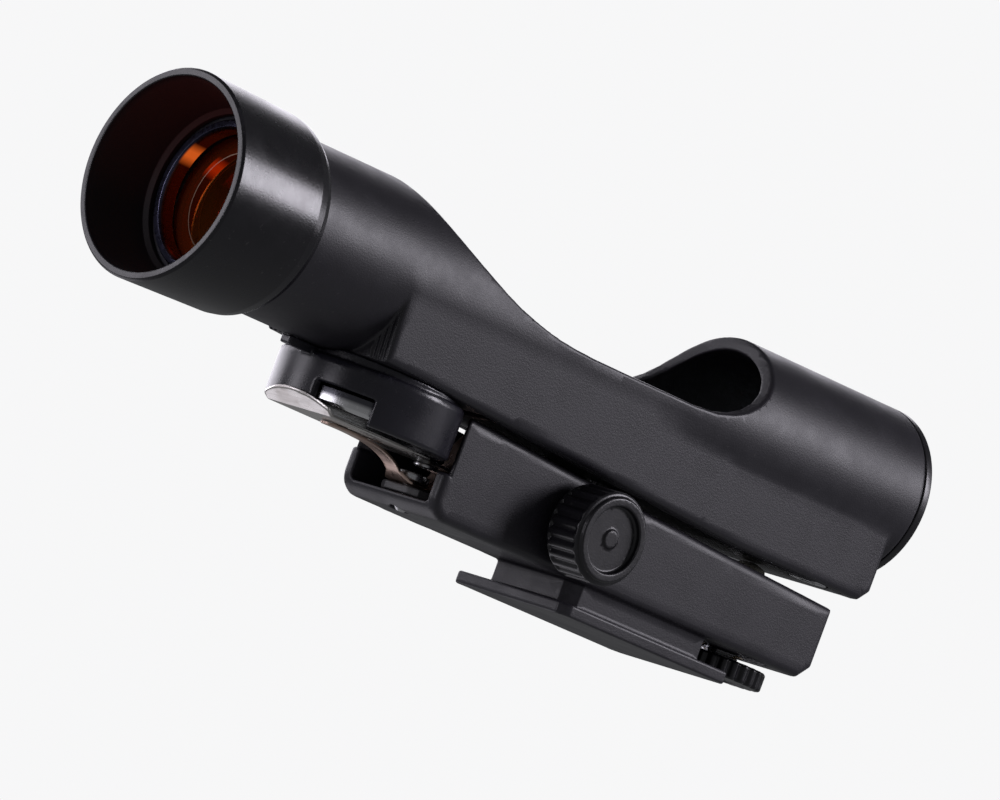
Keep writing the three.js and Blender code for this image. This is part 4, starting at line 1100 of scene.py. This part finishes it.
moulded("azimuth_knob", "azimuth_knob_fluted", azimuth_knob, 0.085)
moulded("altitude_knob", "altitude_knob_fluted", altitude_knob, 0.085)
moulded("brightness_knob", "brightness_knob_fluted", brightness_knob, 0.085)


# ---------------------------------------------------------------- bracket and swivel block
# Side view of the channel: (x, z)
CHANNEL = [
    (40.1, -9.6), (40.5, -9.25), (47, -9.6), (60, -10.35), (78, -11.3), (94, -12.0),
    (94, FLOOR_LOW + 1.4), (92.6, FLOOR_LOW), (42.2, FLOOR_LOW), (41.5, FLOOR_LOW + 0.12),
    (40.9, FLOOR_LOW + 0.45), (40.45, FLOOR_LOW + 0.85), (40.2, FLOOR_LOW + 1.3),
    (40.05, FLOOR_LOW + 1.75), (40.0, FLOOR_LOW + 2.2), (40.0, -9.9),
]
# Half plan views: (x, y)
NECK = [(61, -4.6), (62.4, -6.0), (79.6, -6.0), (81, -4.6)]
FOOT = [(59, -7), (60, -8), (82, -8), (83, -7)]


def bracket(x, y, z):
    side = np.abs(y)
    inner = CHANNEL_HALF - CHANNEL_WALL
    shape = meet(outline(x, z, CHANNEL), side - CHANNEL_HALF, 0.9)
    hollow = (20, BRACKET.rear - 1.3, -inner, inner, FLOOR_TOP, 0)
    shape = cut(shape, rounded_box(x, y, z, hollow, 0.5), 0.3)
    # round clearance for the drum
    clearance = meet(length(x - DRUM_X, y) - DRUM_R - 0.7, -14.95 - z)
    shape = cut(shape, clearance, 0.35)
    # bosses round the azimuth screw, one in each wall, and round the altitude screw
    azimuth = length(x - AZ_X, z - AZ_Z)
    shape = join(shape, cylinder(azimuth, y, 3.0, inner - 0.5, CHANNEL_HALF + 0.25, 0.12), 0.35)
    shape = join(shape, cylinder(azimuth, y, 2.2, -inner - 0.3, -inner + 0.35, 0.1), 0.2)
    altitude = length(x - ALT_X, y)
    shape = join(shape, cylinder(altitude, z, 3.7, FLOOR_LOW + 0.02, -16.4, 0.2), 0.4)
    neck = meet(outline(x, y, mirrored(NECK)), slab(z, -21.8, FLOOR_LOW + 0.3), 0.1)
    shape = join(shape, neck, 0.35)
    foot = meet(outline(x, y, mirrored(FOOT)), slab(z, BRACKET.low, -21.6), 0.22)
    shape = meet(join(shape, foot, 0.25), BRACKET.low - z)
    # low cross ribs on the channel floor
    for rib_x in (70.0, 80.0):
        rib = meet(np.abs(x - rib_x) - 0.4, side - inner - 0.2)
        shape = join(shape, meet(rib, slab(z, FLOOR_TOP - 0.2, FLOOR_TOP + 0.35)), 0.2)
    shape = cut(shape, meet(length(x - PIVOT_X, y) - 1.05, slab(z, -21, -17)), 0.12)
    shape = cut(shape, meet(altitude - 2.6, slab(z, -21, -15)), 0.05)
    return cut(shape, meet(azimuth - 2.6, slab(y, 4, 9)), 0.05)


moulded("base_bracket", "bracket_moulding", bracket, 0.15, 0.04)

# Front tab in half plan (x, y), then the block and its rear nose in side view (x, z)
SWIVEL_TAB = [(40.9, -1.5), (41.5, -2.6), (42.5, -3.1), (48.2, -3.4)]
SWIVEL_BLOCK = [(47.8, -17.85), (47.8, -14.2), (49.4, -12.6), (59.4, -12.2), (59.4, -17.85)]
SWIVEL_NOSE = [(59.0, -17.85), (59.0, -12.2), (62.2, -11.2), (63.3, -10.7), (64.7, -10.7),
               (66.1, -11.6), (66.6, -13.2), (66.1, -14.8), (64.8, -16.2), (61.5, -17.85)]


def swivel(x, y, z):
    side = np.abs(y)
    tab = meet(outline(x, y, mirrored(SWIVEL_TAB)), slab(z, -17.85, -17.0), 0.2)
    block = meet(outline(x, z, SWIVEL_BLOCK), side - 3.7, 0.5)
    nose = meet(outline(x, z, SWIVEL_NOSE), side - 2.75, 0.4)
    shape = join(join(tab, block, 0.3), nose, 0.3)
    # pivot screw hole, pin bore, and the hole in line with the azimuth screw
    shape = cut(shape, meet(length(x - PIVOT_X, y) - 1.1, slab(z, -19, -15)), 0.08)
    shape = cut(shape, length(x - PIN_X, z - PIN_Z) - 1.05, 0.08)
    shape = cut(shape, meet(length(x - AZ_X, z - AZ_Z) - 1.75, slab(y, -5, -0.7)), 0.1)
    # cored-out pockets in the top
    pockets = rounded_box(x, side, z, (50.6, 55.2, 0.55, 2.6, -15.6, -10), 0.3)
    return cut(shape, pockets, 0.15)


moulded("swivel_block", "swivel_moulding", swivel, 0.12, 0.03)

# ---------------------------------------------------------------- springs
# Underside of the leaf spring, front to rear: (x, z)
LEAF = [(29.5, -14.78), (33.0, -14.75), (36.4, -14.95), (38.7, -15.55), (40.2, -16.45),
        (41.2, -16.9), (43.9, -16.9), (44.6, -16.5), (45.4, -15.5), (46.4, -13.2),
        (47.4, -11.2), (48.4, -10.1), (49.6, -9.75), (51.6, -9.85)]


def offset_line(points, distance):
    """Open (x, z) line moved square to itself, upward where it runs rearward."""
    moved = []
    for i, (x, z) in enumerate(points):
        before, after = points[max(0, i - 1)], points[min(len(points) - 1, i + 1)]
        run, rise = after[0] - before[0], after[1] - before[1]
        span = math.hypot(run, rise)
        moved.append((x - rise / span * distance, z + run / span * distance))
    return moved


LEAF_LINE = spline(offset_line(LEAF, 0.15), 5)


def leaf(x, y, z):
    strip = line_distance(x, z, LEAF_LINE) - 0.145
    # wider round the pivot screw
    half_width = np.interp(x, [39.9, 41.0, 44.0, 45.2], [0.98, 1.94, 1.94, 0.98])
    shape = meet(strip, (np.abs(y) - half_width.astype(np.float32)) * 0.8, 0.1)
    # rounded ends
    shape = meet(shape, length(np.maximum(30.5 - x, 0), y) - 0.98 - 3.0 * (x > 30.5))
    shape = meet(shape, length(np.maximum(x - 50.6, 0), y) - 0.98 - 3.0 * (x < 50.6))
    return cut(shape, meet(length(x - PIVOT_X, y) - 1.15, slab(z, -18, -16)), 0.05)


finish_spring(from_field("leaf_spring_strip", leaf, extent("leaf_spring"), 0.085, 0.02),
              "leaf_spring", "spring_strip", ("swivel", "sight"),
              start=(45, 0, -16.55), end=(45, 0, -14.95))

COIL_R, COIL_TURNS = 1.25, 4.5
size = extent("azimuth_spring")
coil = []
for t in np.linspace(0, 1, 260):
    angle = t * COIL_TURNS * 2 * math.pi
    advance = np.interp(t, [0, 0.14, 0.86, 1], [0, 0.06, 0.94, 1])  # closed end turns
    coil.append((AZ_X - COIL_R * math.cos(angle),
                 size.right + 0.22 + advance * (size.left - size.right - 0.44),
                 AZ_Z + COIL_R * math.sin(angle)))
finish_spring(tube_along("azimuth_coil", coil, 0.21, 14), "azimuth_spring", "screw_steel",
              ("base", "swivel"), start=(AZ_X, size.right + 0.3, AZ_Z),
              end=(AZ_X, size.left - 0.5, AZ_Z))


# ---------------------------------------------------------------- lamp and wiring
def lamp_holder(x, y, z):
    side = outline(x, z, [(67.0, -8.6), (67.0, -4.0), (67.4, -3.7), (70.8, -3.7), (72.0, -5.4),
                          (72.0, -8.6)])
    return cut(meet(side, np.abs(y) - 2.0, 0.3), length(y, z - LAMP_Z) - 1.58, 0.15)


moulded("lamp_holder", "lamp_holder_moulding", lamp_holder, 0.09)
LAMP_R = 1.45
lamp_dome = [(68.9 - LAMP_R * math.cos(angle), LAMP_R * math.sin(angle), 0)
             for angle in np.linspace(0, math.pi / 2, 12)]
turned("lamp", "lamp_body", lamp_dome + [
    (70.9, LAMP_R, 0.02), (70.95, 1.5, 0.04), (71.6, 1.5, 0.08), (71.6, 0),
], 72, at=(0, 0, LAMP_Z))

# (x, z)
LEAD = [(71.75, LAMP_Z), (72.4, -6.1), (72.9, -7.4), (74.0, -8.5), (75.4, -8.5), (77.1, -8.5)]
for i, lead_y in ((1, 0.6), (2, -0.6)):
    path = spline([(x, lead_y, z) for x, z in LEAD], 6)
    finish(tube_along(f"lamp_lead_wire_{i}", path, 0.135), f"lamp_lead_{i}")

# Supply wire without its last point; the return wire mirrors it: (x, y, z)
WIRE = [(36.0, 0.45, -9.85), (36.0, 0.45, -9.0), (36.6, 0.45, -8.5), (37.8, 0.45, -8.33),
        (41.4, 0.5, -8.33), (42.5, 1.4, -8.2), (42.5, 4.4, -7.8), (43.6, 6.2, -6.6),
        (47.0, 6.75, -5.9)]
for node, side, end in (("supply_wire", 1, (55.9, 6.8, -5.6)),
                        ("return_wire", -1, (54.9, -6.7, -5.6))):
    path = spline([(x, side * y, z) for x, y, z in WIRE] + [end], 6)
    finish(tube_along(node + "_insulated", path, 0.21), node)

# ---------------------------------------------------------------- pieces kept as packed
# node, width of its softened edges
KEPT = (("positive_contact", 0.05), ("circuit_board", 0.06), ("resistor", 0.12),
        ("pinhole_mask", 0.03), ("potentiometer_case", 0.18), ("potentiometer_wiper", 0.06))
for name, width in KEPT:
    piece = frame["nodes"][name]
    attributes = piece.data.attributes
    if "custom_normal" in attributes:
        attributes.remove(attributes["custom_normal"])
    piece.data.materials.clear()
    piece.data.materials.append(MAT[SLOT[name]])
    weld = piece.modifiers.new("weld", "WELD")
    weld.merge_threshold = 1e-6
    bevel = piece.modifiers.new("soft_edges", "BEVEL")
    bevel.width = width * MM
    bevel.segments = 2
    bevel.limit_method = "ANGLE"
    bevel.angle_limit = math.radians(35)


# ---------------------------------------------------------------- floor and world (metres)
low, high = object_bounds()
centre = (low + high) / 2


def pale_floor():
    """Pale paint, clear from below and fading out toward the rim."""
    net = new_nodes("pale_floor")
    blotch = net.noise(scale=30, detail=4.0, rough=0.6)
    paint = net.value(
        "BsdfPrincipled",
        Base_Color=net.mix(net.ramp(blotch), (0.86, 0.90, 0.81), (0.83, 0.87, 0.785)),
        Roughness=net.ramp(blotch, to=(0.75, 0.85)), Specular_IOR_Level=0.1,
        Emission_Color=(1.0, 1.0, 1.0), Emission_Strength=0.42)
    away = net.node("VectorMath", {"operation": "LENGTH"}, {0: net.coords}).outputs["Value"]
    hidden = net.math("MAXIMUM", net.node("NewGeometry").outputs["Backfacing"],
                      net.ramp(away, over=(0.35, 1.5)))
    return net.done(net.mix_shader(hidden, paint, net.value("BsdfTransparent")))


bpy.ops.mesh.primitive_circle_add(vertices=128, radius=1.6, fill_type="NGON",
                                  location=(centre.x, centre.y, low.z - 0.00002))
floor = bpy.context.active_object
floor.name = "studio_floor"
floor.data.materials.append(pale_floor())
floor.visible_diffuse = False
floor.visible_glossy = False
floor.visible_transmission = False
floor.visible_shadow = False


def studio_world():
    """Dim light, stronger from below, behind a near-white backdrop seen by the camera."""
    net = Nodes(bpy.data.worlds.new("studio"), "World")
    height = net.axes(net.places["Generated"])["Z"]
    light = net.value("Background", Color=(0.96, 0.97, 1.0),
                      Strength=net.ramp(height, over=(-0.6, 0.7), to=(0.20, 0.09)))
    backdrop = net.value("Background", Color=(0.93, 0.93, 0.935), Strength=1.0)
    seen = net.node("LightPath").outputs["Is Camera Ray"]
    return net.done(net.mix_shader(seen, light, backdrop))


bpy.context.scene.world = studio_world()

# ---------------------------------------------------------------- lights
LIGHT_COLOUR = (1.0, 0.965, 1.06)
# name, direction from the sight, distance, (width, height), watts
SOFTBOXES = [
    ("key_softbox", (-0.62, 0.66, 0.42), 0.55, (0.15, 0.20), 1.35),
    ("top_softbox", (0.10, -0.85, 0.50), 0.60, (0.40, 0.18), 0.35),
    ("right_softbox", (-0.15, -0.98, 0.14), 0.70, (0.50, 0.30), 1.3),
    ("front_softbox", (0.98, -0.05, 0.15), 0.70, (0.18, 0.40), 1.2),
    ("rear_right_softbox", (-0.70, -0.80, 0.35), 0.70, (0.35, 0.45), 1.0),
    ("rear_left_softbox", (-0.85, 0.45, 0.25), 0.60, (0.14, 0.14), 0.2),
    ("front_right_softbox", (0.69, -0.72, 0.07), 0.70, (0.22, 0.40), 0.8),
    ("low_right_softbox", (-0.13, -0.72, -0.68), 0.60, (0.34, 0.34), 0.3),
]
for name, direction, distance, (width, height), watts in SOFTBOXES:
    direction = Vector(direction).normalized()
    light = bpy.data.lights.new(name, "AREA")
    light.shape = "RECTANGLE"
    light.size = width
    light.size_y = height
    light.energy = watts
    light.color = LIGHT_COLOUR
    softbox = bpy.data.objects.new(name, light)
    softbox.location = centre + direction * distance
    softbox.rotation_mode = "QUATERNION"
    softbox.rotation_quaternion = direction.to_track_quat("Z", "Y")
    softbox.visible_camera = False
    bpy.context.scene.collection.objects.link(softbox)

# ---------------------------------------------------------------- camera
CAMERA_AIM = (49.0, 0.6, -6.2)  # shape coordinates
CAMERA_DISTANCE = 1.174
CAMERA_ROLL = math.radians(24.2)
toward = Vector((0.69, 0.7207, -0.0698)).normalized()  # from the sight to the camera
along = Vector((-0.724, 0.687, -0.0665))
along = (along - toward * along.dot(toward)).normalized()
upright = toward.cross(along)
right = along * math.cos(CAMERA_ROLL) + upright * math.sin(CAMERA_ROLL)
up = -along * math.sin(CAMERA_ROLL) + upright * math.cos(CAMERA_ROLL)
basis = Matrix((right, up, toward)).transposed().to_4x4()
basis.translation = Vector(world(CAMERA_AIM)) + toward * CAMERA_DISTANCE

camera_data = bpy.data.cameras.new("camera")
camera = bpy.data.objects.new("camera", camera_data)
bpy.context.scene.collection.objects.link(camera)
camera_data.sensor_width = 36.0
camera_data.lens = 455.175
camera.matrix_world = basis
camera_data.clip_start = 0.05
camera_data.clip_end = 20.0
bpy.context.scene.camera = camera
bpy.context.scene.view_settings.view_transform = "Standard"
